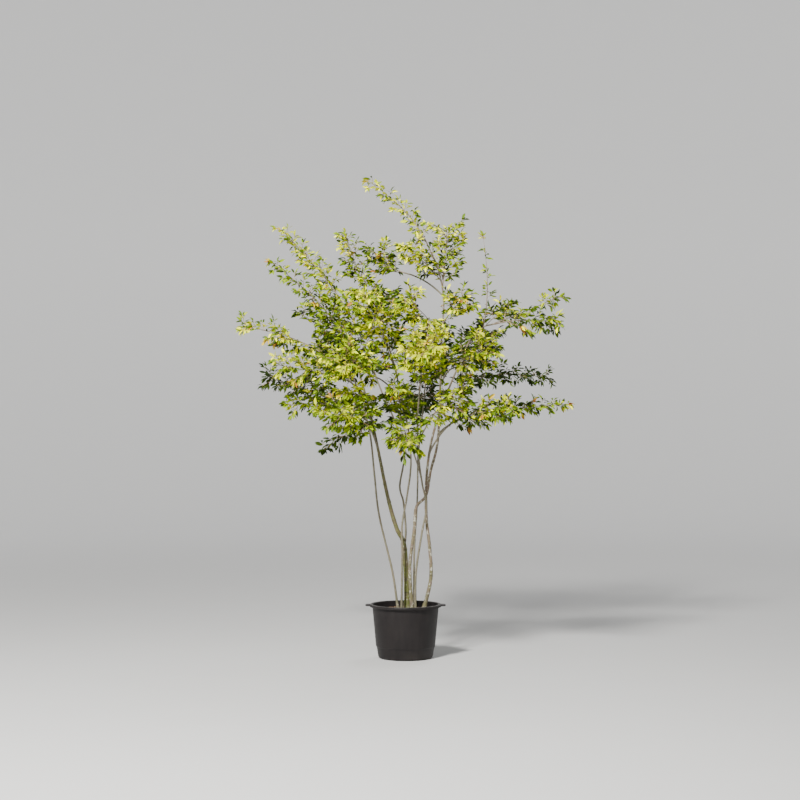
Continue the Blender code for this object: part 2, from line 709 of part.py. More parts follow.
class MassGrowth:
    """One mass as it grows: its seeded numbers, its twigs and its leaves."""

    def __init__(self, crown, mass, seed):
        self.crown = crown
        self.mass = mass
        self.rng = random.Random(seed)
        self.axis = crown.axes[mass.name]
        self.length = path_length(self.axis)
        self.twigs = []
        self.leaves = []

    def fits(self, shape, points):
        """Whether a new piece stays in the mass's space and touches nothing but its twig."""
        if not self.crown.owns(self.mass, points) or not self.crown.is_clear(self.mass, shape):
            return False
        return not touches(shape, self.leaves)

    def add_leaf(self, point, direction, outward, length):
        """Try a few random attitudes for one leaf and keep the first that fits."""
        for _ in range(LEAF_TRIES):
            leaf = leaf_at(point, direction, outward, length, self.rng)
            if self.fits(leaf, (leaf[0][2], leaf[0][4])):
                self.leaves.append(leaf)
                return

    def add_side_twig(self, point, tangent, outward, span):
        """Grow a side twig with leaves set alternately along it and one at its end."""
        direction = tangent * math.cos(SIDE_ANGLE) + outward * math.sin(SIDE_ANGLE)
        direction.z += SIDE_LIFT
        direction.normalize()
        end = point + direction * span
        twig = tube([point, end], [SIDE_TWIG_RADIUS, TWIG_TIP_RADIUS], TWIG_SIDES)
        if not self.fits(twig, [end]):
            return
        self.twigs.append(twig)
        self.add_leaf(end - direction * LEAF_SINK, direction, direction, LEAF_LENGTH)
        count = max(1, round(span / LEAF_SPACING))
        for index in range(count):
            roll = math.pi * index + self.rng.uniform(-LEAF_TURN, LEAF_TURN)
            place = point.lerp(end, 1.0 - (index + 0.7) / (count + 0.4))
            self.add_leaf(place, direction, outward_from(direction, roll), LEAF_LENGTH)

    def grow(self):
        """Grow side twigs, or leaf pairs where there is no room, in turn up the axis."""
        roll = self.rng.uniform(0.0, math.tau)
        distance = max(FIRST_PLACE, self.length * self.mass.bare)
        while distance < self.length - LEAF_LENGTH:
            along = distance / self.length
            point, tangent = axis_at(self.axis, along)
            reach = reach_at(self.mass, along)
            span = reach * self.rng.uniform(*SIDE_VARIATION) - SIDE_INSET
            roll += GOLDEN_ANGLE
            if span > SIDE_LEAST:
                self.add_side_twig(point, tangent, outward_from(tangent, roll), span)
                distance += SIDE_SPACING
                continue
            for turn in (0.0, math.pi):
                length = min(LEAF_LENGTH, reach / math.sin(LEAF_ANGLE))
                self.add_leaf(point, tangent, outward_from(tangent, roll + turn), length)
            distance += PAIR_SPACING


def touches(shape, others):
    """Whether a solid crosses any of some others."""
    tree = BVHTree.FromPolygons(*shape)
    return any(tree.overlap(BVHTree.FromPolygons(*other)) for other in others)


def path_length(points):
    """Return the length of a centre line."""
    return sum((after - before).length for before, after in zip(points, points[1:]))


def build_foliage(limbs):
    """Make every mass as one solid that stays in its own space."""
    crown = Crown(limbs)
    for index, mass in enumerate(MASSES):
        stem, end_leaf = crown.stem_and_end_leaf(mass)
        growth = MassGrowth(crown, mass, SEED + index)
        growth.leaves.append(end_leaf)
        growth.grow()
        obj = new_object(mass.name, stem, finish(mass.leaf))
        combine(obj, "UNION", growth.twigs + growth.leaves)
        if mass.height is not None:
            combine(obj, "DIFFERENCE", [limbs[mass.limb].shape(GAP)])
        loose = keep_outer_shell(obj)
        crown.add_solid(obj)
        print(mass.name, "twigs", len(growth.twigs), "leaves", len(growth.leaves),
              "loose", loose, "faces", len(obj.data.polygons))


# ---------------------------------------------------------------- pot
def pot_profile():
    """Return the pot's outer wall from the underside up, then its inner wall down."""
    step_top = STEP_HEIGHT + STEP_RISE
    rim_bottom = POT_HEIGHT - RIM_DROP
    corner = POT_FOOT_ROUND * 0.3
    outer = [
        (0.0, 0.0),
        (POT_FOOT_RADIUS - POT_FOOT_ROUND, 0.0),
        (POT_FOOT_RADIUS - corner, corner),
        (POT_FOOT_RADIUS, POT_FOOT_ROUND),
        (STEP_RADIUS, STEP_HEIGHT),
        (STEP_RADIUS + STEP_OUT, step_top),
        (WALL_TOP_RADIUS, WALL_TOP_HEIGHT),
        (WALL_TOP_RADIUS, POT_HEIGHT - RIM_THICKNESS),
        (RIM_RADIUS - RIM_THICKNESS, POT_HEIGHT - RIM_THICKNESS),
        (RIM_RADIUS - RIM_THICKNESS, rim_bottom),
        (RIM_RADIUS, rim_bottom),
        (RIM_RADIUS, POT_HEIGHT - RIM_THICKNESS),
        (RIM_RADIUS - RIM_THICKNESS, POT_HEIGHT),
    ]
    inner = [
        (WALL_TOP_RADIUS - POT_WALL, POT_HEIGHT),
        (WALL_TOP_RADIUS - POT_WALL, WALL_TOP_HEIGHT),
        (STEP_RADIUS + STEP_OUT - POT_WALL, step_top),
        (STEP_RADIUS - POT_WALL, STEP_HEIGHT),
        (POT_FOOT_RADIUS - POT_WALL, POT_FOOT_ROUND),
        (POT_FOOT_RADIUS - POT_FOOT_ROUND, POT_FLOOR),
        (0.0, POT_FLOOR),
    ]
    return outer, inner


def build_pot():
    """Make the pot: turned wall and rolled rim, two carrying lugs and drain holes."""
    outer, inner = pot_profile()
    pot = new_object("pot", lathe(outer + inner, POT_SIDES), finish("pot_plastic"))
    lugs = [ring_sector(RIM_RADIUS - RIM_THICKNESS / 2.0, LUG_REACH, LUG_TOP - LUG_THICKNESS,
                        LUG_TOP, middle, LUG_HALF_ANGLE, LUG_STEPS) for middle in (0.0, math.pi)]
    combine(pot, "UNION", lugs)
    holes = []
    for index in range(DRAIN_COUNT):
        angle = 2.0 * math.pi * (index + 0.5) / DRAIN_COUNT
        centre = (DRAIN_RING * math.cos(angle), DRAIN_RING * math.sin(angle))
        holes.append(upright_cylinder(centre, DRAIN_RADIUS, -POT_FLOOR, 2.0 * POT_FLOOR,
                                      DRAIN_SIDES))
    combine(pot, "DIFFERENCE", holes)
    pot.data.shade_smooth()


def build_potting_mix():
    """Make the potting mix that fills the pot, level where the stems stand on it."""
    _, inner = pot_profile()
    wall = [(radius - GAP if radius > 0.0 else 0.0, height + GAP) for radius, height in inner[1:]]
    (top_radius, top_height), (low_radius, low_height) = wall[0], wall[1]
    edge_height = SOIL_HEIGHT - SOIL_EDGE_FALL
    slope = (top_radius - low_radius) / (top_height - low_height)
    edge_radius = low_radius + slope * (edge_height - low_height)
    profile = wall[:0:-1]
    profile.append((edge_radius - GAP, edge_height))
    profile.append((edge_radius - 0.030, SOIL_HEIGHT))
    profile.append((0.0, SOIL_HEIGHT))
    new_object("potting_mix", lathe(profile, POT_SIDES), finish("potting_mix"))


def main():
    """Build the pot, the potting mix, the limbs and then the foliage."""
    clear_scene()
    build_pot()
    build_potting_mix()
    limbs = build_limbs()
    build_foliage(limbs)


main()
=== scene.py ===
"""Potted serviceberry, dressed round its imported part: pot, potting mix, bark, twigs and leaves.

Units are metres and +Z is up. The origin is the centre of the pot's flat underside, the
viewer stands on the -Y side and +X is to the viewer's right.
"""

import json
import logging
import math
import random
from dataclasses import dataclass, field
from enum import Enum
from typing import NamedTuple, Optional

import bpy
import numpy as np
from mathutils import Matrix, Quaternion, Vector, noise

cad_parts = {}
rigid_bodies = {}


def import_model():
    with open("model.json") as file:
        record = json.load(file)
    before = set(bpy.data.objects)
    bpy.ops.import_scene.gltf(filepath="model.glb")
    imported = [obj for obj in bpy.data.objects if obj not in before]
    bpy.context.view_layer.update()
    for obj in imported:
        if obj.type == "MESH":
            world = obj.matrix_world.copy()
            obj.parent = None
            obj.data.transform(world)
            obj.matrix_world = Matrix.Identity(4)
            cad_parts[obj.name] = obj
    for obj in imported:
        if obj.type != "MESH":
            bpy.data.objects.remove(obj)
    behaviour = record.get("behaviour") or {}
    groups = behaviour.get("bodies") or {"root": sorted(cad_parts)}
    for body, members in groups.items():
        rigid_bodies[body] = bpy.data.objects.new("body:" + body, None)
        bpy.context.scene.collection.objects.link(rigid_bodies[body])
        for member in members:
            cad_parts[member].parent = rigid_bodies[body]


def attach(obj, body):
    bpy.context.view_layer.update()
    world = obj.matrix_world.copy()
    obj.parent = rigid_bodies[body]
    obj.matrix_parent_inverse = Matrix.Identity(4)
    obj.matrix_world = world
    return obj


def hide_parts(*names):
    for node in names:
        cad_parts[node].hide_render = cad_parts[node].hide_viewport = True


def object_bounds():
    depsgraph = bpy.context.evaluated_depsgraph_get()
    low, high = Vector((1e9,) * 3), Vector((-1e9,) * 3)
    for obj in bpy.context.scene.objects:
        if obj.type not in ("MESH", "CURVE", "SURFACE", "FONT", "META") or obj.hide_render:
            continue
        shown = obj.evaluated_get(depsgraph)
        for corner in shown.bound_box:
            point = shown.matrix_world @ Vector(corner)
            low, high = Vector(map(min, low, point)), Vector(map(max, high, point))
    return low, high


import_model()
cad_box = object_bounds()

BODY = "root"
UP = Vector((0.0, 0.0, 1.0))
GOLDEN_ANGLE = math.radians(137.5)
SEED = 1807
EYE = (-0.033, -11.0, 1.533)

log = logging.getLogger("serviceberry")

Colour = tuple[float, float, float]
Place = tuple[float, float, float]


class Slot(Enum):
    """The record's material slots that the pieces take their finishes from."""

    POT = "pot_plastic"
    MIX = "potting_mix"
    MOSSY = "bark_mossy"
    MOTTLED = "bark_mottled"
    GREY = "bark_grey"
    SUNLIT = "leaf_sunlit"
    GREEN = "leaf_green"
    SHADED = "leaf_shaded"
    TIPS = "leaf_tips"


# ------------------------------------------------------------------ the plant's plan
class Stem(NamedTuple):
    """A limb that rises from the potting mix, or from a fork, through a few bends."""

    name: str
    slot: Slot
    foot_radius: float
    head_radius: float
    bends: tuple[Place, ...]


class Bough(NamedTuple):
    """A tapering limb that leaves a parent limb at a height and ends at a point."""

    name: str
    parent: str
    height: float
    radius: float
    end: Place


class Mass(NamedTuple):
    """A body of foliage: the limb that feeds it, its furthest tip and its reach.

    A height of None means that the limb's tip feeds it; otherwise it leaves the side of
    the limb at that height. Narrowing is the reach at the tip as a share of the reach,
    and bare is the share of its axis, from the root, that carries no leaves.
    """

    name: str
    limb: str
    height: Optional[float]
    tip: Place
    reach: float
    narrowing: float
    slot: Slot
    bare: float = 0.0


STEMS = (
    Stem("stem_trunk", Slot.MOSSY, 0.0175, 0.0055, (
        (0.010, 0.020, 0.285), (0.005, 0.020, 0.480), (-0.010, 0.010, 0.675),
        (-0.056, -0.020, 0.780), (-0.108, -0.050, 0.970), (-0.172, -0.080, 1.288),
        (-0.212, -0.090, 1.470), (-0.275, -0.070, 1.700))),
    Stem("stem_leader", Slot.MOTTLED, 0.0110, 0.0042, (
        (0.039, -0.030, 0.285), (0.025, -0.030, 0.540), (0.051, -0.025, 0.760),
        (0.064, -0.010, 0.896), (0.122, 0.015, 0.965), (0.150, 0.025, 1.110),
        (0.191, 0.030, 1.281), (0.206, 0.020, 1.580), (0.212, 0.005, 1.860),
        (0.226, 0.000, 2.128), (0.194, 0.000, 2.310), (0.134, 0.000, 2.450))),
    Stem("stem_centre", Slot.GREY, 0.0064, 0.0046, (
        (-0.024, -0.045, 0.285), (-0.020, -0.045, 0.600), (-0.020, -0.040, 0.790),
        (0.010, -0.035, 0.970), (0.032, -0.030, 1.168), (0.010, -0.020, 1.400),
        (-0.035, -0.010, 1.604), (-0.085, 0.000, 1.800), (-0.150, 0.000, 1.960))),
    Stem("stem_left", Slot.GREY, 0.0066, 0.0050, (
        (-0.045, 0.035, 0.285), (-0.079, 0.050, 0.511), (-0.158, 0.080, 0.843),
        (-0.186, 0.100, 1.080), (-0.214, 0.140, 1.330), (-0.270, 0.240, 1.540),
        (-0.310, 0.310, 1.650))),
    Stem("stem_front", Slot.GREY, 0.0070, 0.0044, (
        (0.058, -0.070, 0.285), (0.061, -0.075, 0.511), (0.098, -0.085, 0.757),
        (0.124, -0.090, 0.908), (0.098, -0.115, 1.039), (0.077, -0.160, 1.199),
        (0.070, -0.260, 1.420), (0.080, -0.330, 1.590))),
    Stem("stem_right", Slot.MOTTLED, 0.0115, 0.0042, (
        (0.108, -0.020, 0.285), (0.150, -0.030, 0.480), (0.142, -0.040, 0.665),
        (0.123, -0.045, 0.840), (0.125, -0.045, 1.080), (0.156, -0.050, 1.300),
        (0.225, -0.060, 1.520), (0.315, -0.055, 1.740), (0.390, -0.040, 1.900),
        (0.460, -0.035, 1.965), (0.550, -0.035, 1.988))),
    Stem("stem_rear", Slot.GREY, 0.0058, 0.0044, (
        (0.050, 0.045, 0.285), (0.052, 0.060, 0.620), (0.068, 0.085, 0.880),
        (0.073, 0.110, 1.030), (0.076, 0.160, 1.180), (0.100, 0.270, 1.410),
        (0.120, 0.360, 1.600))),
)

FORK = Stem("stem_fork", Slot.GREY, 0.0060, 0.0046, (
    (-0.009, 0.015, 0.650), (0.002, 0.040, 0.750), (-0.012, 0.060, 0.919),
    (-0.034, 0.070, 1.020), (-0.008, 0.080, 1.216), (-0.070, 0.095, 1.420),
    (-0.150, 0.110, 1.600), (-0.235, 0.120, 1.830)))

BOUGHS = (
    Bough("bough_far_left", "stem_trunk", 1.480, 0.0060, (-0.420, -0.120, 1.750)),
    Bough("bough_left_mid", "stem_trunk", 1.550, 0.0055, (-0.370, -0.260, 1.660)),
    Bough("bough_low_left", "stem_trunk", 1.370, 0.0055, (-0.340, -0.160, 1.480)),
    Bough("bough_low_front_left", "stem_trunk", 1.250, 0.0060, (-0.210, -0.260, 1.370)),
    Bough("bough_left_edge", "stem_fork", 1.680, 0.0045, (-0.370, 0.220, 1.880)),
    Bough("bough_left_front", "stem_centre", 1.500, 0.0045, (-0.160, -0.270, 1.660)),
    Bough("bough_top_centre", "stem_leader", 2.150, 0.0046, (0.000, 0.030, 2.290)),
    Bough("bough_right_mid", "stem_leader", 1.620, 0.0055, (0.280, -0.220, 1.720)),
    Bough("bough_back_right", "stem_leader", 1.680, 0.0050, (0.320, 0.230, 1.790)),
    Bough("bough_far_right", "stem_leader", 1.330, 0.0060, (0.370, 0.040, 1.430)),
    Bough("bough_low_right", "stem_right", 1.220, 0.0055, (0.260, -0.240, 1.390)),
    Bough("bough_low_centre", "stem_front", 1.080, 0.0045, (0.020, -0.260, 1.290)),
    Bough("bough_right_dark", "stem_rear", 1.300, 0.0045, (0.260, 0.290, 1.550)),
    Bough("bough_back_low", "stem_rear", 1.180, 0.0045, (0.070, 0.300, 1.410)),
)

MASSES = (
    Mass("foliage_leader", "stem_leader", None, (-0.255, 0.000, 2.858), 0.105, 0.75, Slot.TIPS),
    Mass("foliage_top_centre", "bough_top_centre", None, (-0.220, 0.090, 2.455), 0.180, 0.85,
         Slot.SUNLIT),
    Mass("foliage_top_inner", "stem_leader", 2.240, (-0.020, -0.180, 2.450), 0.160, 0.90,
         Slot.SUNLIT),
    Mass("foliage_top_right", "stem_leader", 2.190, (0.265, 0.110, 2.575), 0.180, 1.00,
         Slot.SUNLIT),
    Mass("foliage_right_inner", "stem_leader", 1.980, (0.360, -0.280, 2.145), 0.170, 0.90,
         Slot.SUNLIT),
    Mass("foliage_centre_high", "stem_leader", 1.900, (-0.030, -0.380, 2.140), 0.200, 0.90,
         Slot.SUNLIT),
    Mass("foliage_right_high", "stem_right", 1.850, (0.660, 0.250, 2.145), 0.140, 0.80,
         Slot.SUNLIT),
    Mass("foliage_right_shoot", "stem_right", 1.965, (0.455, 0.000, 2.545), 0.075, 0.90,
         Slot.GREEN, 0.10),
    Mass("foliage_right_long", "stem_right", None, (0.938, -0.080, 1.979), 0.175, 0.60,
         Slot.SUNLIT),
    Mass("foliage_right_tuft", "stem_right", 1.978, (0.965, 0.200, 2.175), 0.090, 1.00,
         Slot.GREEN, 0.66),
    Mass("foliage_right_mid", "bough_right_mid", None, (0.520, -0.560, 1.880), 0.205, 0.80,
         Slot.SUNLIT),
    Mass("foliage_front_centre", "stem_front", None, (0.120, -0.740, 1.870), 0.230, 0.80,
         Slot.TIPS),
    Mass("foliage_front_high", "stem_centre", 1.700, (-0.240, -0.450, 2.140), 0.200, 0.80,
         Slot.SUNLIT),
    Mass("foliage_upper_back", "stem_centre", 1.820, (-0.110, 0.280, 2.220), 0.180, 0.80,
         Slot.GREEN),
    Mass("foliage_left_front", "bough_left_front", None, (-0.380, -0.720, 1.780), 0.220, 0.80,
         Slot.SUNLIT),
    Mass("foliage_centre_shoot", "stem_centre", None, (-0.374, 0.060, 2.565), 0.210, 0.40,
         Slot.SUNLIT),
    Mass("foliage_left_shoot_high", "stem_fork", None, (-0.785, 0.240, 2.597), 0.200, 0.40,
         Slot.TIPS),
    Mass("foliage_left_shoot_low", "stem_trunk", None, (-0.836, -0.050, 2.378), 0.200, 0.35,
         Slot.GREEN),
    Mass("foliage_left_edge", "bough_left_edge", None, (-0.670, 0.370, 2.080), 0.160, 0.75,
         Slot.GREEN),
    Mass("foliage_far_left", "bough_far_left", None, (-0.991, -0.150, 1.965), 0.200, 0.55,
         Slot.SUNLIT),
    Mass("foliage_left_mid", "bough_left_mid", None, (-0.780, -0.430, 1.740), 0.190, 0.70,
         Slot.SUNLIT),
    Mass("foliage_low_left", "bough_low_left", None, (-0.720, -0.250, 1.500), 0.160, 0.70,
         Slot.GREEN),
    Mass("foliage_left_dark", "stem_left", 1.430, (-0.890, 0.360, 1.680), 0.160, 0.80,
         Slot.SHADED, 0.22),
    Mass("foliage_hanging_left", "stem_left", 1.370, (-0.530, 0.320, 1.212), 0.110, 0.85,
         Slot.SHADED, 0.42),
    Mass("foliage_low_front_left", "bough_low_front_left", None, (-0.420, -0.700, 1.455), 0.205,
         0.80, Slot.GREEN),
    Mass("foliage_low_centre", "bough_low_centre", None, (0.030, -0.660, 1.240), 0.180, 0.80,
         Slot.GREEN),
    Mass("foliage_low_inner", "stem_centre", 1.380, (-0.090, -0.440, 1.650), 0.180, 0.90,
         Slot.GREEN),
    Mass("foliage_low_mid", "stem_front", 1.380, (0.370, -0.490, 1.560), 0.210, 0.85,
         Slot.SUNLIT),
    Mass("foliage_left_inner", "stem_trunk", 1.400, (-0.330, -0.540, 1.600), 0.170, 0.85,
         Slot.GREEN),
    Mass("foliage_low_right", "bough_low_right", None, (0.640, -0.540, 1.500), 0.165, 0.75,
         Slot.SUNLIT),
    Mass("foliage_far_right", "bough_far_right", None, (0.995, -0.160, 1.512), 0.160, 0.40,
         Slot.GREEN),
    Mass("foliage_right_dark", "bough_right_dark", None, (0.930, 0.450, 1.660), 0.150, 0.65,
         Slot.SHADED),
    Mass("foliage_back_right", "bough_back_right", None, (0.560, 0.600, 2.000), 0.210, 0.80,
         Slot.SHADED),
    Mass("foliage_back_centre", "stem_rear", None, (0.180, 0.760, 1.940), 0.230, 0.80,
         Slot.SHADED),
    Mass("foliage_back_left", "stem_left", None, (-0.480, 0.740, 1.840), 0.215, 0.80,
         Slot.SHADED),
    Mass("foliage_back_low", "bough_back_low", None, (0.160, 0.740, 1.580), 0.205, 0.80,
         Slot.SHADED),
)


# ------------------------------------------------------------------ shader maths
@dataclass(frozen=True)
class Signal:
    """One value inside a material. An expression on signals adds its Math nodes."""

    surface: "Surface"
    socket: bpy.types.NodeSocket

    def maths(self, operation: str, first: "Signal | float", second: "Signal | float",
              clamp: bool = False) -> "Signal":
        """Add one Math node.

        Args:
            operation: The node's operation.
            first: The first value.
            second: The second value.
            clamp: Whether the result is held between 0 and 1.

        Returns:
            The node's result.
        """
        settings = {"operation": operation, "use_clamp": clamp}
        return self.surface.signal("ShaderNodeMath", settings, {0: first, 1: second})

    def __add__(self, other: "Signal | float") -> "Signal":
        """Return self + other."""
        return self.maths("ADD", self, other)

    __radd__ = __add__

    def __sub__(self, other: "Signal | float") -> "Signal":
        """Return self - other."""
        return self.maths("SUBTRACT", self, other)

    def __rsub__(self, other: "Signal | float") -> "Signal":
        """Return other - self."""
        return self.maths("SUBTRACT", other, self)

    def __mul__(self, other: "Signal | float") -> "Signal":
        """Return self * other."""
        return self.maths("MULTIPLY", self, other)

    __rmul__ = __mul__

    def held(self) -> "Signal":
        """Return the value held between 0 and 1."""
        return self.maths("ADD", self, 0.0, clamp=True)

    def step(self, low: float, high: float) -> "Signal":
        """Return a smooth step from 0 at low to 1 at high, or falling if low is higher.

        Args:
            low: The value that gives 0.
            high: The value that gives 1.

        Returns:
            The stepped value.
        """
        return self.surface.signal(
            "ShaderNodeMapRange", {"interpolation_type": "SMOOTHSTEP"},
            {"Value": self, "From Min": low, "From Max": high})


class Surface:
    """A material that is being put together round its Principled shader."""

    def __init__(self, name: str) -> None:
        """Start a material with a Principled shader and nothing else."""
        self.material = bpy.data.materials.new(name)
        self.material.use_nodes = True
        self.tree = self.material.node_tree
        self.shader = self.tree.nodes["Principled BSDF"]

    def feed(self, socket: bpy.types.NodeSocket, value: object) -> None:
        """Link a socket to a signal, or set its value."""
        if isinstance(value, Signal):
            self.tree.links.new(value.socket, socket)
        else:
            socket.default_value = value

    def node(self, kind: str, settings: Optional[dict] = None,
             inputs: Optional[dict] = None) -> bpy.types.Node:
        """Add a node, with its settings made first and its sockets fed after them.

        Args:
            kind: The node's type.
            settings: Its properties; "stops" holds a colour ramp's positions and colours.
            inputs: Values or signals by the name or number of the socket.

        Returns:
            The node.
        """
        made = self.tree.nodes.new(kind)
        for key, value in (settings or {}).items():
            if key != "stops":
                setattr(made, key, value)
                continue
            elements = made.color_ramp.elements
            while len(elements) < len(value):
                elements.new(0.5)
            for element, (position, colour) in zip(elements, value):
                element.position = position
                element.color = (*colour, 1.0)
        for key, value in (inputs or {}).items():
            self.feed(made.inputs[key], value)
        return made

    def signal(self, kind: str, settings: Optional[dict] = None,
               inputs: Optional[dict] = None, output: int | str = 0) -> Signal:
        """Add a node and return one of its outputs as a signal.

        Args:
            kind: The node's type.
            settings: Its properties.
            inputs: Values or signals by the name or number of the socket.
            output: The name or number of the output.

        Returns:
            The output.
        """
        return Signal(self, self.node(kind, settings, inputs).outputs[output])

    def point(self) -> Signal:
        """Return the surface point in metres."""
        return self.signal("ShaderNodeTexCoord", output="Object")

    def place(self, stretch: Place = (1.0, 1.0, 1.0)) -> Signal:
        """Return the surface point in metres, stretched along each axis."""
        return self.signal("ShaderNodeMapping", None, {"Vector": self.point(), "Scale": stretch})

    def height(self) -> Signal:
        """Return the surface point's height."""
        return self.signal("ShaderNodeSeparateXYZ", None, {0: self.point()}, "Z")

    def grain(self, place: Signal, scale: float, detail: float = 3.0,
              roughness: float = 0.5) -> Signal:
        """Return fractal noise between 0 and 1.

        Args:
            place: The point that it is read at.
            scale: Its lumps per metre.
            detail: Its number of finer layers.
            roughness: How strong the finer layers are.

        Returns:
            The noise.
        """
        inputs = {"Vector": place, "Scale": scale, "Detail": detail, "Roughness": roughness}
        return self.signal("ShaderNodeTexNoise", {"noise_dimensions": "3D"}, inputs)

    def specks(self, place: Signal, scale: float) -> Signal:
        """Return the distance to the nearest of many scattered points, in cells."""
        return self.signal("ShaderNodeTexVoronoi", None, {"Vector": place, "Scale": scale})

    def blend(self, share: Signal | float, first: Signal | Colour,
              second: Signal | Colour) -> Signal:
        """Mix two colours.

        Args:
            share: How much of the second colour shows.
            first: The first colour.
            second: The second colour.

        Returns:
            The mixed colour.
        """
        first, second = (value if isinstance(value, Signal) else (*value, 1.0)
                         for value in (first, second))
        return self.signal("ShaderNodeMix", {"data_type": "RGBA"}, {0: share, 6: first, 7: second},
                           2)

    def relief(self, height: Signal, depth: float) -> Signal:
        """Return the normal that a height between 0 and 1 gives at a depth in metres."""
        return self.signal("ShaderNodeBump", None, {"Height": height, "Distance": depth})

    def finish(self, **sockets: object) -> bpy.types.Material:
        """Feed the shader's sockets, named with _ for each space, and return the material."""
        for name, value in sockets.items():
            self.feed(self.shader.inputs[name.replace("_", " ")], value)
        return self.material


# ------------------------------------------------------------------ finishes
@dataclass(frozen=True)
class PotPlastic:
    """Moulded black-brown plastic with flow marks, dust at the foot, light scuffs and a painted
    highlight on the lip's top.
    """

    ground: Colour = (0.0085, 0.0068, 0.0072)
    flow: Colour = (0.0140, 0.0115, 0.0115)
    dust: Colour = (0.060, 0.052, 0.045)
    # Colour of the painted highlight round the lip's top.
    lip_highlight: Colour = (0.220, 0.210, 0.200)
    dust_height: float = 0.075
    # Heights over which the lip's painted highlight comes in.
    lip_highlight_heights: tuple[float, float] = (0.3165, 0.3195)
    specular: float = 0.24

    def material(self) -> bpy.types.Material:
        """Make the material."""
        surface = Surface("pot_plastic")
        place = surface.place()
        streaks = surface.grain(surface.place((1.0, 1.0, 0.08)), 34.0, 4.0)
        clouds = surface.grain(place, 9.0, 3.0)
        scuffs = surface.grain(surface.place((0.30, 0.30, 2.4)), 120.0, 5.0, 0.62).step(0.60, 0.72)
        pitting = surface.grain(place, 900.0, 2.0)
        low = surface.height().step(self.dust_height, 0.0)
        dust = (low * clouds.step(0.30, 0.75) * 0.30 + scuffs * 0.10
                + surface.grain(place, 160.0, 4.0).step(0.62, 0.80) * 0.14).held()
        flowing = surface.blend((streaks * 0.6 + clouds * 0.4).step(0.35, 0.65),
                                self.ground, self.flow)
        colour = surface.blend(dust, flowing, self.dust)
        # Painted highlight: a paler, patchy band round the top of the lip.
        painted_highlight = (surface.height().step(*self.lip_highlight_heights)
                  * surface.grain(surface.place((1.0, 1.0, 0.2)), 60.0, 4.0).step(0.36, 0.68))
        colour = surface.blend(painted_highlight * 0.26, colour, self.lip_highlight)
        roughness = (0.46 + streaks * 0.12 + dust * 0.45 + scuffs * 0.10).held()
        bumps = pitting * 0.35 + streaks * 0.30 + scuffs * 0.35
        return surface.finish(Base_Color=colour, Roughness=roughness,
                              Normal=surface.relief(bumps, 0.0006),
                              Specular_IOR_Level=self.specular)


@dataclass(frozen=True)
class MixPeat:
    """Damp peat and bark fines, darker where it is wet."""

    dry: Colour = (0.085, 0.058, 0.038)
    wet: Colour = (0.028, 0.019, 0.013)
    fibre: Colour = (0.190, 0.135, 0.080)

    def material(self) -> bpy.types.Material:
        """Make the material."""
        surface = Surface("potting_mix")
        place = surface.place()
        patches = surface.grain(place, 22.0, 3.0).step(0.38, 0.62)
        crumbs = surface.grain(place, 260.0, 5.0, 0.65)
        fibres = surface.grain(surface.place((1.0, 0.2, 1.0)), 420.0, 3.0).step(0.62, 0.72)
        ground = surface.blend((patches * 0.5 + crumbs * 0.5).held(), self.wet, self.dry)
        return surface.finish(Base_Color=surface.blend(fibres * 0.6, ground, self.fibre),
                              Roughness=(0.98 - patches * 0.16).held(),
                              Normal=surface.relief(crumbs, 0.003),
                              Specular_IOR_Level=0.25)


@dataclass(frozen=True)
class ChipBark:
    """Composted bark chips: a dark weathered face with a paler split grain."""

    dark: Colour = (0.075, 0.042, 0.026)
    pale: Colour = (0.240, 0.150, 0.085)

    def material(self) -> bpy.types.Material:
        """Make the material."""
        surface = Surface("bark_chips")
        grain = surface.grain(surface.place((1.0, 0.15, 1.0)), 500.0, 4.0)
        pieces = surface.grain(surface.place(), 45.0, 1.0)
        share = (grain * 0.55 + pieces.step(0.30, 0.70) * 0.60 - 0.20).held()
        return surface.finish(Base_Color=surface.blend(share, self.dark, self.pale),
                              Roughness=(0.80 + grain * 0.15).held(),
                              Normal=surface.relief(grain, 0.0010), Specular_IOR_Level=0.25)


@dataclass(frozen=True)
class Bark:
    """Young smooth bark: lengthwise streaks, breathing pores, lichen crust and moss."""

    slot: Slot
    ground: Colour
    warm: Colour
    streak: Colour
    crust: Colour
    crust_edge: float
    fleck_share: float
    moss: Colour
    moss_share: float
    moss_top: float
    specular: float = 0.30

    def material(self) -> bpy.types.Material:
        """Make the material."""
        surface = Surface(self.slot.value)
        place = surface.place()
        long_place = surface.place((1.0, 1.0, 0.10))
        streaks = surface.grain(long_place, 330.0, 4.0, 0.60)
        bands = surface.grain(surface.place((0.5, 0.5, 1.0)), 24.0, 3.0)
        fine = surface.grain(place, 900.0, 3.0, 0.6)
        pores = surface.specks(surface.place((1.0, 1.0, 1.7)), 150.0).step(0.20, 0.10)
        crust_field = surface.grain(place, 58.0, 5.0, 0.60)
        crust = crust_field.step(self.crust_edge, self.crust_edge + 0.05)
        scar = surface.signal("ShaderNodeAttribute", {"attribute_name": "scar"}, None, "Fac")
        mossy = (surface.height().step(self.moss_top, 0.20) * 0.6 + 0.4) * self.moss_share
        moss = (surface.grain(place, 36.0, 4.0).step(0.62, 0.40) * mossy).held()

        colour = surface.blend(bands.step(0.36, 0.64), self.ground, self.warm)
        colour = surface.blend(streaks.step(0.50, 0.72) * 0.75, colour, self.streak)
        colour = surface.blend(moss, colour, self.moss)
        colour = surface.blend(crust * (0.55 + fine * 0.45), colour, self.crust)
        colour = surface.blend(pores * 0.45, colour, self.crust)
        flecks = surface.grain(surface.place((1.0, 1.0, 0.6)), 130.0, 4.0, 0.6).step(0.57, 0.66)
        colour = surface.blend(flecks * self.fleck_share, colour, self.streak)
        colour = surface.blend(scar, colour, self.streak)
        height = streaks * 0.40 + crust * 0.35 + pores * 0.25 + fine * 0.30
        roughness = (0.68 + crust * 0.18 + moss * 0.15 + fine * 0.08).held()
        return surface.finish(Base_Color=colour, Roughness=roughness,
                              Normal=surface.relief(height, 0.0010),
                              Specular_IOR_Level=self.specular)


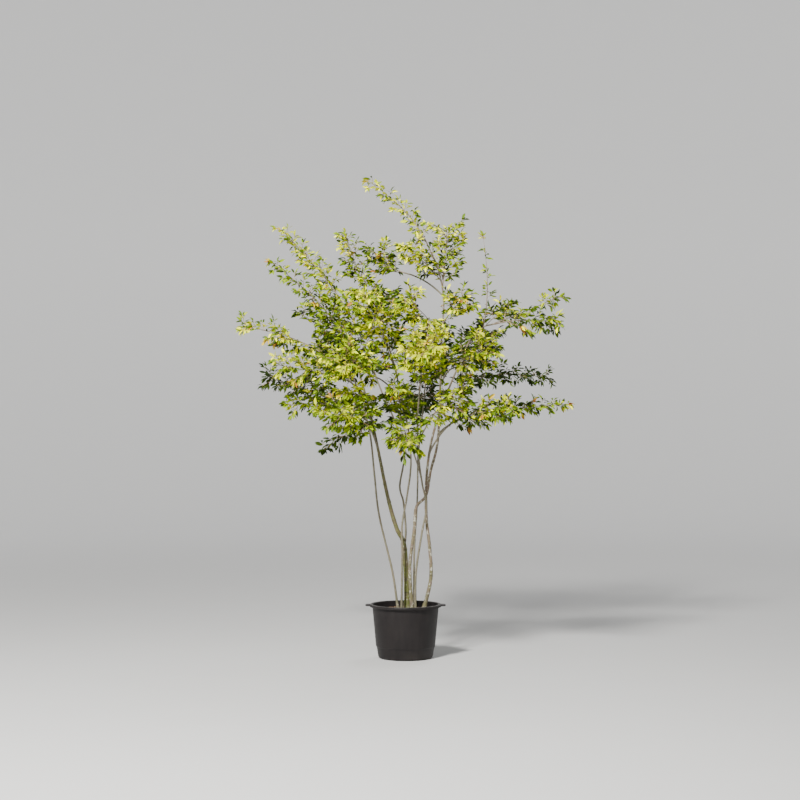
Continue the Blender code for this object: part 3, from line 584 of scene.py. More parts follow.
BARKS = (
    Bark(Slot.MOSSY, (0.112, 0.100, 0.052), (0.150, 0.115, 0.066), (0.038, 0.034, 0.019),
         (0.360, 0.370, 0.270), 0.600, 0.55, (0.105, 0.125, 0.022), 0.95, 1.10),
    Bark(Slot.MOTTLED, (0.150, 0.122, 0.084), (0.190, 0.132, 0.092), (0.046, 0.036, 0.026),
         (0.480, 0.480, 0.390), 0.555, 0.75, (0.115, 0.130, 0.040), 0.55, 1.15),
    Bark(Slot.GREY, (0.155, 0.142, 0.098), (0.182, 0.153, 0.104), (0.062, 0.052, 0.036),
         (0.370, 0.370, 0.290), 0.625, 0.50, (0.110, 0.120, 0.045), 0.40, 0.90),
)


class Tint(Enum):
    """The plain colours that are dealt out spray by spray, and their roughness."""

    LEAF_DEEP = ((0.022, 0.042, 0.003), 0.55)
    LEAF_DARK = ((0.050, 0.086, 0.004), 0.55)
    LEAF_MID = ((0.095, 0.160, 0.004), 0.50)
    LEAF_LIME = ((0.215, 0.310, 0.002), 0.46)
    LEAF_YELLOW = ((0.470, 0.530, 0.002), 0.42)
    LEAF_GOLD = ((0.860, 0.860, 0.030), 0.42)
    LEAF_AMBER = ((0.560, 0.390, 0.030), 0.50)
    LEAF_COPPER = ((0.370, 0.170, 0.035), 0.50)
    TWIG_OLD = ((0.230, 0.185, 0.135), 0.75)
    TWIG_TAN = ((0.330, 0.230, 0.150), 0.65)
    TWIG_RED = ((0.300, 0.130, 0.080), 0.55)
    STALK = ((0.420, 0.330, 0.110), 0.55)

    def material(self) -> bpy.types.Material:
        """Return the tint's material, made once."""
        name = self.name.lower()
        found = bpy.data.materials.get(name)
        if found:
            return found
        colour, roughness = self.value
        return Surface(name).finish(Base_Color=(*colour, 1.0), Roughness=roughness,
                                    Specular_IOR_Level=0.12)


LEAF_RANGES = {
    Slot.SUNLIT: (Tint.LEAF_DEEP, Tint.LEAF_DARK, Tint.LEAF_MID, Tint.LEAF_LIME,
                  Tint.LEAF_YELLOW, Tint.LEAF_GOLD),
    Slot.GREEN: (Tint.LEAF_DEEP, Tint.LEAF_DARK, Tint.LEAF_MID, Tint.LEAF_LIME,
                 Tint.LEAF_LIME, Tint.LEAF_YELLOW),
    Slot.SHADED: (Tint.LEAF_DEEP, Tint.LEAF_DEEP, Tint.LEAF_DARK, Tint.LEAF_DARK,
                  Tint.LEAF_MID, Tint.LEAF_LIME),
    Slot.TIPS: (Tint.LEAF_DARK, Tint.LEAF_MID, Tint.LEAF_LIME, Tint.LEAF_YELLOW,
                Tint.LEAF_YELLOW, Tint.LEAF_GOLD),
}
YOUNG_TINTS = (Tint.LEAF_AMBER, Tint.LEAF_GOLD, Tint.LEAF_COPPER)


# ------------------------------------------------------------------ meshes
class Gathering:
    """Shapes gathered to make one piece, with a tint and a scar value for each."""

    def __init__(self) -> None:
        """Start with nothing."""
        self.count = 0
        self.vertices: list[np.ndarray] = []
        self.scars: list[np.ndarray] = []
        self.faces: list[tuple[int, ...]] = []
        self.tints: list[int] = []
        self.creases: list[tuple[int, int]] = []

    def add(self, vertices: np.ndarray, faces: list, tint: int = 0,
            scars: Optional[np.ndarray] = None, creases: tuple = ()) -> None:
        """Add one shape.

        Args:
            vertices: Its points, as an (N, 3) array.
            faces: Its faces, as tuples of point numbers.
            tint: The material number of its faces.
            scars: How dark the bark is at each point, from 0 to 1.
            creases: Edges that stay sharp, as pairs of point numbers.
        """
        self.vertices.append(vertices)
        self.scars.append(np.zeros(len(vertices)) if scars is None else scars)
        self.faces.extend(tuple(corner + self.count for corner in face) for face in faces)
        self.tints.extend([tint] * len(faces))
        self.creases.extend(tuple(corner + self.count for corner in crease) for crease in creases)
        self.count += len(vertices)

    def build(self, name: str, materials: list[bpy.types.Material],
              sharp_angle: Optional[float] = None) -> bpy.types.Object:
        """Make the piece and let it ride on the part's body.

        Args:
            name: The piece's name.
            materials: Its materials, in the order of the tint numbers.
            sharp_angle: The angle past which an edge stays sharp; none by default.

        Returns:
            The piece.
        """
        mesh = bpy.data.meshes.new(name)
        mesh.from_pydata(np.concatenate(self.vertices).tolist(), [], self.faces)
        for material in materials:
            mesh.materials.append(material)
        mesh.polygons.foreach_set("material_index", self.tints)
        scars = np.concatenate(self.scars)
        if scars.any():
            layer = mesh.attributes.new("scar", "FLOAT", "POINT")
            layer.data.foreach_set("value", scars.astype(np.float32))
        mesh.shade_smooth()
        if sharp_angle is not None:
            mesh.set_sharp_from_angle(angle=sharp_angle)
        if self.creases:
            self.crease(mesh)
        mesh.update()
        piece = linked_object(name, mesh)
        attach(piece, BODY)
        log.info("%s: %d vertices, %d faces", name, len(mesh.vertices), len(mesh.polygons))
        return piece

    def crease(self, mesh: bpy.types.Mesh) -> None:
        """Mark the edges that stay sharp.

        Args:
            mesh: The piece's mesh.
        """
        edges = np.empty(2 * len(mesh.edges), np.int64)
        mesh.edges.foreach_get("vertices", edges)
        codes = np.sort(edges.reshape(-1, 2), axis=1) @ (self.count, 1)
        wanted = np.sort(np.array(self.creases), axis=1) @ (self.count, 1)
        mesh.attributes.new("sharp_edge", "BOOLEAN", "EDGE").data.foreach_set(
            "value", np.isin(codes, wanted))


def cross_frames(points: np.ndarray) -> list[tuple]:
    """Work out a direction and two cross directions at each point, without twist.

    Args:
        points: The centre line.

    Returns:
        One (direction, across, beside) of vectors for each point.
    """
    line = [Vector(point) for point in points]
    directions = [(line[min(index + 1, len(line) - 1)] - line[max(index - 1, 0)]).normalized()
                  for index in range(len(line))]
    across = directions[0].orthogonal().normalized()
    frames = []
    for direction in directions:
        across = (across - direction * across.dot(direction)).normalized()
        frames.append((direction, across, direction.cross(across)))
    return frames


def ring_faces(rings: int, sides: int, closed_ends: bool = True) -> list[tuple[int, ...]]:
    """List the faces of a tube, ring by ring.

    Args:
        rings: The number of rings.
        sides: The points in each ring.
        closed_ends: Whether both ends have a cap.

    Returns:
        The faces.
    """
    faces = []
    for ring in range(rings - 1):
        low = ring * sides
        high = low + sides
        for side in range(sides):
            after = (side + 1) % sides
            faces.append((low + side, low + after, high + after, high + side))
    if closed_ends:
        last = (rings - 1) * sides
        faces.append(tuple(range(sides - 1, -1, -1)))
        faces.append(tuple(range(last, last + sides)))
    return faces


def tube(points: np.ndarray, radii: np.ndarray, sides: int) -> tuple[np.ndarray, list]:
    """Make a closed tube along a centre line.

    Args:
        points: The centre line.
        radii: Its radius at each point.
        sides: The points in each ring.

    Returns:
        The tube's points and faces.
    """
    turns = np.linspace(0.0, 2.0 * math.pi, sides, endpoint=False)
    frames = cross_frames(points)
    across = np.array([axes[1] for axes in frames])[:, None, :]
    beside = np.array([axes[2] for axes in frames])[:, None, :]
    offsets = across * np.cos(turns)[None, :, None] + beside * np.sin(turns)[None, :, None]
    rings = np.asarray(points)[:, None, :] + offsets * np.asarray(radii)[:, None, None]
    return rings.reshape(-1, 3), ring_faces(len(points), sides)


def lengths_along(points: list[Vector]) -> list[float]:
    """Return how far along a centre line each of its points is."""
    lengths = [0.0]
    for before, after in zip(points, points[1:]):
        lengths.append(lengths[-1] + (after - before).length)
    return lengths


def point_along(points: list[Vector], share: float) -> tuple[Vector, Vector]:
    """Return the point and the direction at a share of a line of even steps."""
    place = min(share, 0.9999) * (len(points) - 1)
    low, high = points[int(place)], points[int(place) + 1]
    return low.lerp(high, place - int(place)), (high - low).normalized()


def bent_line(start: Vector, control: Vector, end: Vector, steps: int) -> list[Vector]:
    """Curve from one point to another, drawn towards a third.

    Args:
        start: The first point.
        control: The point that draws the curve.
        end: The last point.
        steps: The steps of the curve.

    Returns:
        The curve's points.
    """
    points = []
    for step in range(steps + 1):
        t = step / steps
        points.append(start * (1.0 - t) ** 2 + control * (2.0 * t * (1.0 - t)) + end * t ** 2)
    return points


def between(first: Vector, second: Vector, angle: float) -> Vector:
    """Return the direction at an angle from the first towards the second, square to it."""
    return first * math.cos(angle) + second * math.sin(angle)


def polar(radius: float, turn: float) -> tuple[float, float]:
    """Return the (x, y) of a point at a radius and a turn round Z."""
    return radius * math.cos(turn), radius * math.sin(turn)


def linked_object(name: str, data: bpy.types.ID) -> bpy.types.Object:
    """Make an object of a mesh, a lamp or a camera and link it to the scene."""
    made = bpy.data.objects.new(name, data)
    bpy.context.scene.collection.objects.link(made)
    return made


def segment_distances(points: np.ndarray, starts: np.ndarray,
                      ends: np.ndarray) -> tuple[np.ndarray, np.ndarray]:
    """Measure how far each point is from each straight segment.

    Args:
        points: The points, as a (P, 3) array.
        starts: The segments' first ends, as an (S, 3) array.
        ends: Their other ends.

    Returns:
        The distances, and the nearest places as shares of each segment, both (P, S).
    """
    runs = ends - starts
    offsets = points[:, None, :] - starts[None, :, :]
    shares = (offsets * runs).sum(2) / np.maximum((runs * runs).sum(1), 1e-12)
    shares = np.clip(shares, 0.0, 1.0)
    gaps = offsets - shares[:, :, None] * runs
    return np.linalg.norm(gaps, axis=2), shares


# ------------------------------------------------------------------ limbs
def smooth_path(bends: list[Vector], spacing: float) -> list[Vector]:
    """Pass a Catmull-Rom curve through the bends.

    Args:
        bends: The points that it passes.
        spacing: The distance between the points that are returned, about.

    Returns:
        The curve's points.
    """
    knots = [2.0 * bends[0] - bends[1], *bends, 2.0 * bends[-1] - bends[-2]]
    points = [knots[1]]
    for before, start, end, after in zip(knots, knots[1:], knots[2:], knots[3:]):
        steps = max(1, round((end - start).length / spacing))
        for step in range(1, steps + 1):
            t = step / steps
            points.append(0.5 * (
                2.0 * start + (end - before) * t
                + (2.0 * before - 5.0 * start + 4.0 * end - after) * t ** 2
                + (3.0 * start - 3.0 * end + after - before) * t ** 3))
    return points


@dataclass
class Limb:
    """One stem or bough: its centre line, its radius at each point, and its bark."""

    name: str
    slot: Slot
    points: list[Vector]
    radii: list[float]
    sides: int
    collared: bool = False
    bud_spacing: float = 0.085
    bud_first: tuple[float, float] = (0.3, 0.8)
    bud_variation: tuple[float, float] = (0.7, 1.4)
    bud_rise: float = 0.14
    collar_rise: float = 0.55
    collar_length: float = 0.016
    swell_share: float = 0.060
    swell_scale: float = 17.0
    ridge_depth: float = 0.00040
    ridge_scales: tuple[float, float] = (420.0, 38.0)
    crust_depth: float = 0.0011
    crust_scale: float = 58.0
    crust_edge: float = 0.16
    bud_width_share: float = 0.35
    bud_least_width: float = 0.003
    bud_widths: float = 3.0
    bud_shares: tuple[float, float] = (0.25, 0.75)
    scar_narrowing: float = 9.0
    scar_shares: tuple[float, float] = (0.20, 0.70)

    def __post_init__(self) -> None:
        """Measure the centre line."""
        self.lengths = lengths_along(self.points)

    @property
    def end(self) -> tuple[Vector, Vector]:
        """The tip, and the direction that the limb has there."""
        return self.points[-1], (self.points[-1] - self.points[-2]).normalized()

    def at_height(self, height: float) -> tuple[Vector, Vector]:
        """Find where the rising limb passes a height.

        Args:
            height: The height.

        Returns:
            The point of the centre line and the limb's direction there.
        """
        for low, high in zip(self.points, self.points[1:]):
            if low.z <= height <= high.z:
                share = (height - low.z) / (high.z - low.z)
                return low.lerp(high, share), (high - low).normalized()
        raise ValueError(f"{self.name} does not reach {height}")

    def buds(self) -> list[tuple[float, float]]:
        """Deal out old bud scars up the limb, as (length along it, turn round it)."""
        rng = random.Random(SEED + sum(self.name.encode()))
        found = []
        along = rng.uniform(*self.bud_first) * self.bud_spacing
        turn = rng.uniform(0.0, math.tau)
        while along < self.lengths[-1]:
            found.append((along, turn % math.tau))
            along += self.bud_spacing * rng.uniform(*self.bud_variation)
            turn += GOLDEN_ANGLE
        return found

    def relief(self, point: Vector, radius: float) -> float:
        """Return how far the plain bark stands out at a point of the limb's surface."""
        swell = noise.noise(point * self.swell_scale) * self.swell_share * radius
        across, along = self.ridge_scales
        ridge = noise.noise(Vector((point.x * across, point.y * across, point.z * along)))
        crust = max(0.0, noise.noise(point * self.crust_scale) - self.crust_edge)
        return swell + ridge * self.ridge_depth + crust * self.crust_depth

    def add_bark(self, gathering: Gathering) -> None:
        """Add the limb's bark-relief mesh to a piece.

        Args:
            gathering: The piece.
        """
        buds = self.buds()
        vertices = []
        scars = []
        frames = cross_frames(np.array(self.points))
        for point, radius, along, (_, across, beside) in zip(
                self.points, self.radii, self.lengths, frames):
            if self.collared:
                radius *= 1.0 + self.collar_rise * math.exp(-along / self.collar_length)
            for side in range(self.sides):
                turn = math.tau * side / self.sides
                outward = between(across, beside, turn)
                surface = point + outward * radius
                out, scar = self.bud_relief(buds, along, turn, radius)
                out += self.relief(surface, radius)
                vertices.append(surface + outward * out)
                scars.append(scar)
        gathering.add(np.array(vertices), ring_faces(len(self.points), self.sides),
                      scars=np.array(scars))

    def bud_relief(self, buds: list[tuple[float, float]], along: float, turn: float,
                   radius: float) -> tuple[float, float]:
        """Work out what the old bud scars add at one point of the surface.

        Args:
            buds: The scars, as (length along the limb, turn round it).
            along: The point's length along the limb.
            turn: Its turn round the limb.
            radius: The limb's radius there.

        Returns:
            How far it stands out, and how dark it is from 0 to 1.
        """
        out = 0.0
        scar = 0.0
        width = self.bud_width_share * radius + self.bud_least_width
        for place, middle in buds:
            gap = (along - place) / width
            if abs(gap) > self.bud_widths:
                continue
            facing = 0.5 + 0.5 * math.cos(turn - middle)
            behind, before = self.bud_shares
            out += (self.bud_rise * radius * math.exp(-gap * gap)
                    * (behind + before * facing ** 3))
            behind, before = self.scar_shares
            scar = max(scar, math.exp(-self.scar_narrowing * gap * gap)
                       * (behind + before * facing ** 4))
        return out, scar


@dataclass
class Framework:
    """All the stems and boughs, on the same lines as the part's solids."""

    gap: float = 0.0003
    flare_height: float = 0.022
    flare_share: float = 0.75
    foot_depth: float = 0.010
    foot_widening: float = 1.1
    bough_tip_radius: float = 0.0042
    bough_bend_place: float = 0.42
    bough_rise: float = 0.18
    spacing: float = 0.0065
    stem_settle: float = 1.3
    stem_sides: int = 16
    bough_sides: int = 10
    limbs: dict[str, Limb] = field(default_factory=dict)

    def __post_init__(self) -> None:
        """Work out every limb."""
        for stem in STEMS:
            self.limbs[stem.name] = self.planted(stem)
        self.limbs[FORK.name] = self.forked(FORK)
        for bough in BOUGHS:
            self.limbs[bough.name] = self.bough(bough)

    @staticmethod
    def taper(points: list[Vector], base: float, tip: float,
              settle: float = 1.0) -> list[float]:
        """Return radii that fall from base to tip, sooner where settle is over 1."""
        lengths = lengths_along(points)
        return [tip + (base - tip) * (1.0 - length / lengths[-1]) ** settle
                for length in lengths]

    def planted(self, stem: Stem) -> Limb:
        """Work out a stem that stands in the mix, with its root flare.

        Args:
            stem: Its row of the plan.

        Returns:
            The limb, carried a little way down into the mix.
        """
        foot = Vector(stem.bends[0]) + UP * self.gap
        second = Vector(stem.bends[1])
        collar = foot.lerp(second, self.flare_height / (second.z - foot.z))
        bends = [foot, collar, *(Vector(bend) for bend in stem.bends[1:])]
        points = smooth_path(bends, self.spacing)
        radii = [radius * (1.0 + self.flare_share
                           * math.exp(-(point.z - foot.z) / self.flare_height))
                 for point, radius in zip(points, self.taper(points, stem.foot_radius,
                                                             stem.head_radius,
                                                             self.stem_settle))]
        points.insert(0, foot - UP * self.foot_depth)
        radii.insert(0, radii[0] * self.foot_widening)
        return Limb(stem.name, stem.slot, points, radii, self.stem_sides)

    def forked(self, stem: Stem) -> Limb:
        """Work out a stem that starts inside another.

        Args:
            stem: Its row of the plan.

        Returns:
            The limb.
        """
        points = smooth_path([Vector(bend) for bend in stem.bends], self.spacing)
        radii = self.taper(points, stem.foot_radius, stem.head_radius, self.stem_settle)
        return Limb(stem.name, stem.slot, points, radii, self.stem_sides, collared=True)

    def bough(self, bough: Bough) -> Limb:
        """Work out a bough that curves from its parent's centre line to its end.

        Args:
            bough: Its row of the plan.

        Returns:
            The limb.
        """
        start, rise = self.limbs[bough.parent].at_height(bough.height)
        end = Vector(bough.end)
        span = (end - start).length
        control = start.lerp(end, self.bough_bend_place) + rise * (span * self.bough_rise)
        points = bent_line(start, control, end, round(span / self.spacing))
        radii = self.taper(points, bough.radius, self.bough_tip_radius)
        return Limb(bough.name, Slot.GREY, points, radii, self.bough_sides, collared=True)

    def build(self) -> None:
        """Make one piece for each stem and one for the boughs, all with bark."""
        barks = {bark.slot: bark.material() for bark in BARKS}
        boughs = Gathering()
        for limb in self.limbs.values():
            if limb.name.startswith("bough"):
                limb.add_bark(boughs)
                continue
            gathering = Gathering()
            limb.add_bark(gathering)
            piece = gathering.build(f"bark_{limb.name}", [barks[limb.slot]])
            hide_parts(limb.name)
        piece = boughs.build("bark_boughs", [barks[Slot.GREY]])
        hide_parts(*(bough.name for bough in BOUGHS))


# ------------------------------------------------------------------ the crown's spaces
@dataclass
class Opening:
    """A gap in the crown that shows sky, as an ellipse facing the viewer."""

    x: float
    z: float
    half_width: float
    half_height: float


OPENINGS = (
    Opening(-0.354, 2.229, 0.040, 0.032),
    Opening(-0.077, 2.241, 0.048, 0.052),
    Opening(0.140, 2.074, 0.065, 0.054),
    Opening(0.342, 2.018, 0.045, 0.024),
    Opening(0.515, 1.979, 0.050, 0.030),
    Opening(-0.616, 1.950, 0.062, 0.066),
    Opening(-0.872, 1.932, 0.054, 0.020),
)


@dataclass
class CrownSpaces:
    """The space of each mass round its axis, and the limbs that foliage keeps clear of."""

    framework: Framework
    axis_steps: int = 5
    axis_settle: float = 0.70
    root_rise: float = 0.30
    limit: float = 1.12
    overlap: float = 0.14
    limb_clearance: float = 0.004
    box_margin: float = 0.020
    limb_stride: int = 4

    def __post_init__(self) -> None:
        """Lay out every axis as straight steps, and the limbs as straight runs."""
        self.roots = {mass.name: self.root_of(mass) for mass in MASSES}
        rows = []
        for index, mass in enumerate(MASSES):
            axis = self.axis_path(mass, self.axis_steps)
            for step, (low, high) in enumerate(zip(axis, axis[1:])):
                reaches = [reach_at(mass, (step + end) / self.axis_steps) for end in (0, 1)]
                rows.append((*low, *high, *reaches, index))
        table = np.array(rows)
        self.starts, self.ends, self.reaches = table[:, 0:3], table[:, 3:6], table[:, 6:8]
        self.owners = table[:, 8].astype(int)
        runs = []
        for limb in self.framework.limbs.values():
            points = limb.points[::self.limb_stride] + [limb.points[-1]]
            radii = limb.radii[::self.limb_stride] + [limb.radii[-1]]
            runs.extend((*low, *high, radius) for low, high, radius
                        in zip(points, points[1:], radii))
        self.limb_runs = np.array(runs)

    def root_of(self, mass: Mass) -> tuple[Vector, Vector]:
        """Find where a mass starts on its limb, and which way it leaves.

        Args:
            mass: Its row of the plan.

        Returns:
            The root and the heading.
        """
        limb = self.framework.limbs[mass.limb]
        if mass.height is None:
            return limb.end
        start, rise = limb.at_height(mass.height)
        outward = (Vector(mass.tip) - start).normalized()
        return start, (outward + rise * self.root_rise).normalized()

    def axis_path(self, mass: Mass, steps: int) -> list[Vector]:
        """Curve from a mass's root, along its limb's heading, to its furthest tip.

        Args:
            mass: Its row of the plan.
            steps: The number of steps along the curve.

        Returns:
            The curve's points.
        """
        root, heading = self.roots[mass.name]
        tip = Vector(mass.tip)
        leaving = heading * (tip - root).length
        arriving = (tip - root) * (1.0 + self.axis_settle) - leaving * self.axis_settle
        points = []
        for step in range(steps + 1):
            t = step / steps
            points.append(
                root * (2.0 * t ** 3 - 3.0 * t ** 2 + 1.0)
                + leaving * (t ** 3 - 2.0 * t ** 2 + t)
                + tip * (3.0 * t ** 2 - 2.0 * t ** 3) + arriving * (t ** 3 - t ** 2))
        return points

    def nearness(self, points: np.ndarray) -> np.ndarray:
        """Measure each point's distance to each mass's axis as a share of its reach there.

        Args:
            points: The points, as a (P, 3) array.

        Returns:
            The shares, as a (P, masses) array.
        """
        distances, shares = segment_distances(points, self.starts, self.ends)
        reaches = self.reaches[:, 0] + (self.reaches[:, 1] - self.reaches[:, 0]) * shares
        shares = distances / reaches
        found = np.full((len(points), len(MASSES)), np.inf)
        for column, owner in enumerate(self.owners):
            found[:, owner] = np.minimum(found[:, owner], shares[:, column])
        return found

    def kept(self, points: np.ndarray, owner: int) -> np.ndarray:
        """Say which points lie in a mass's own space, off the limbs and out of the openings.

        Args:
            points: The points, as a (P, 3) array.
            owner: The mass's number.

        Returns:
            A truth value for each point.
        """
        near = self.nearness(points)
        own = near[:, owner].copy()
        near[:, owner] = np.inf
        inside = (own <= self.limit) & (near.min(1) >= own - self.overlap)
        distances, _ = segment_distances(points, self.limb_runs[:, 0:3], self.limb_runs[:, 3:6])
        clear = (distances > self.limb_runs[:, 6] + self.limb_clearance).all(1)
        low, high = np.array(cad_box[0]), np.array(cad_box[1])
        boxed = ((points > low - self.box_margin) & (points < high + self.box_margin)).all(1)
        return inside & boxed & clear & ~self.in_opening(points)

    def in_opening(self, points: np.ndarray) -> np.ndarray:
        """Say which points the viewer sees inside one of the crown's openings.

        Args:
            points: The points, as a (P, 3) array.

        Returns:
            A truth value for each point.
        """
        shrink = EYE[1] / (EYE[1] - points[:, 1])
        across = EYE[0] + (points[:, 0] - EYE[0]) * shrink
        height = EYE[2] + (points[:, 2] - EYE[2]) * shrink
        found = np.zeros(len(points), bool)
        for gap in OPENINGS:
            found |= (((across - gap.x) / gap.half_width) ** 2
                      + ((height - gap.z) / gap.half_height) ** 2) < 1.0
        return found


def reach_at(mass: Mass, along: float) -> float:
    """Return a mass's reach from its axis, which narrows towards the tip."""
    return mass.reach * (1.0 + (mass.narrowing - 1.0) * along)


# ------------------------------------------------------------------ leaves and twigs
class LeafPlan(NamedTuple):
    """One leaf: where its stalk leaves the twig, how it lies, and its tint."""

    foot: Vector
    direction: Vector
    normal: Vector
    length: float
    stalk: float
    tint: Tint

    @property
    def root(self) -> Vector:
        """Where the blade starts."""
        return self.foot + self.direction * self.stalk


@dataclass(frozen=True)
class LeafForm:
    """The outline and the folds of an oval leaf, as shares of its length."""

    steps: int = 5
    width: float = 0.44
    fullness: float = 0.78
    widest: float = 0.92
    folds: tuple[float, float] = (0.20, 0.95)
    arches: tuple[float, float] = (0.04, 0.40)
    wave: float = 0.030
    waves: float = 1.4
    stalk_radius: float = 0.0007
    stalk_overlap: float = 0.1

    def faces(self) -> tuple[list[tuple[int, ...]], list[tuple[int, int]]]:
        """List one blade's faces, and the edges of its rib."""
        tip = 3 * (self.steps - 1) + 1
        faces = [(0, 2, 1), (0, 3, 2)]
        rib = [(0, 2)]
        for left in range(1, tip - 3, 3):
            faces.append((left, left + 1, left + 4, left + 3))
            faces.append((left + 1, left + 2, left + 5, left + 4))
            rib.append((left + 1, left + 4))
        last = tip - 3
        faces.extend(((last, last + 1, tip), (last + 1, last + 2, tip)))
        rib.append((last + 1, tip))
        return faces, rib

    def blade(self, fold: float, arch: float, phase: float) -> np.ndarray:
        """Work out one blade's points on a unit length.

        Args:
            fold: How far each half is turned up from flat, in radians.
            arch: How far the tip hangs.
            phase: Where the edge's wave starts, in radians.

        Returns:
            The points as (along, across, up) rows.
        """
        shares = np.linspace(0.0, 1.0, self.steps + 1)
        halves = 0.5 * self.width * np.sin(math.pi * shares ** self.widest) ** self.fullness
        rows = [(0.0, 0.0, 0.0)]
        for share, half in zip(shares[1:-1], halves[1:-1]):
            sag = -arch * share * share
            wave = self.wave * math.sin(2.0 * math.pi * share * self.waves + phase)
            raised = half * math.sin(fold)
            for side in (-1.0, 0.0, 1.0):
                rows.append((share, side * half * math.cos(fold),
                             sag + abs(side) * raised + side * wave))
        rows.append((1.0, 0.0, -arch))
        return np.array(rows)

    def add(self, gathering: Gathering, leaf: LeafPlan, tint: int, rng: random.Random) -> None:
        """Add one blade to a piece.

        Args:
            gathering: The piece.
            leaf: The leaf's plan.
            tint: Its material number.
            rng: Where its folds are drawn from.
        """
        blade = self.blade(rng.uniform(*self.folds), rng.uniform(*self.arches),
                           rng.uniform(0.0, math.tau))
        across = leaf.direction.cross(leaf.normal)
        axes = np.array((leaf.direction, across, leaf.normal)) * leaf.length
        faces, rib = self.faces()
        gathering.add(np.array(leaf.root) + blade @ axes, faces, tint, creases=rib)


class Twig(NamedTuple):
    """One twig: its centre line, its radii, its tint and its number of sides."""

    points: list[Vector]
    radii: list[float]
    tint: Tint
    sides: int


@dataclass(frozen=True)
class GrowthRule:
    """How twigs and leaves are set out along the axis of a mass."""

    axis_steps: int = 22
    stem_radius: float = 0.0036
    twig_tip_radius: float = 0.0009
    first_place: float = 0.030
    side_spacing: float = 0.023
    side_jitter: tuple[float, float] = (0.8, 1.2)
    side_angle: float = math.radians(58.0)
    side_lift: float = 0.16
    side_least: float = 0.022
    side_variation: tuple[float, float] = (0.78, 1.00)
    side_steps: int = 5
    side_bend: float = 0.07
    side_sags: tuple[float, float] = (-0.4, 1.0)
    twig_thickening: float = 0.008
    new_wood_share: float = 0.6
    axis_sides: int = 6
    side_sides: int = 5
    axis_gap: float = 0.06
    vertical_share: float = 0.72
    steep_edge: float = 0.2
    spur_spacing: float = 0.026
    spur_first: float = 0.30
    spur_share: tuple[float, float] = (0.32, 0.58)
    spur_least: float = 0.018
    spur_last: float = 0.85
    spur_taper: float = 1.15
    spur_turn: float = 0.6
    spur_heading: tuple[float, float] = (0.75, 0.65)
    slender_reach: float = 0.080
    group_spacing: float = 0.113
    group_length: float = 0.066
    leaf_inset: float = 0.046
    leaf_lengths: tuple[float, float] = (0.033, 0.049)
    leaf_spacing: float = 0.0125
    leaf_first: float = 0.12
    leaf_last: float = 0.8
    leaf_angles: tuple[float, float] = (math.radians(34.0), math.radians(62.0))
    leaf_droops: tuple[float, float] = (0.00, 0.60)
    leaf_turn: float = 0.75
    leaf_roll: float = math.radians(58.0)
    leaf_sunward: float = 0.25
    leaf_middle: float = 0.42
    stalk_share: tuple[float, float] = (0.18, 0.30)
    end_leaves: int = 4
    end_spread: float = math.radians(44.0)
    end_scatter: float = 0.6
    end_sizes: tuple[float, float] = (0.78, 1.0)
    small_end: float = 0.9
    young_share: float = 0.05
    light_middle: float = 0.38
    light_facing: float = 0.32
    light_outer: float = 0.22
    light_scatter: float = 0.26
    tint_shifts: tuple[int, ...] = (-3, -2, -1, -1, 0, 0, 0, 1, 1, 2)


RULE = GrowthRule()
# A spray's tint is its number in the mass's range, and this number for young leaves.
YOUNG = -9
SUNWARD = Vector((-0.12, -0.84, 0.42)).normalized()
CROWN_CENTRE = Vector((0.0, 0.0, 1.95))
CROWN_RADIUS = 0.80


def outward_from(tangent: Vector, roll: float) -> Vector:
    """Return a direction square to a tangent, flattened towards the level."""
    across = tangent.cross(UP)
    if across.length <= RULE.steep_edge:
        across = tangent.orthogonal()
    direction = Quaternion(tangent, roll) @ across.normalized()
    direction.z *= RULE.vertical_share
    return direction.normalized()


def twig_radii(points: list[Vector], base: float) -> list[float]:
    """Return radii that fall evenly from the base to a twig's tip."""
    return [base + (RULE.twig_tip_radius - base) * index / (len(points) - 1)
            for index in range(len(points))]


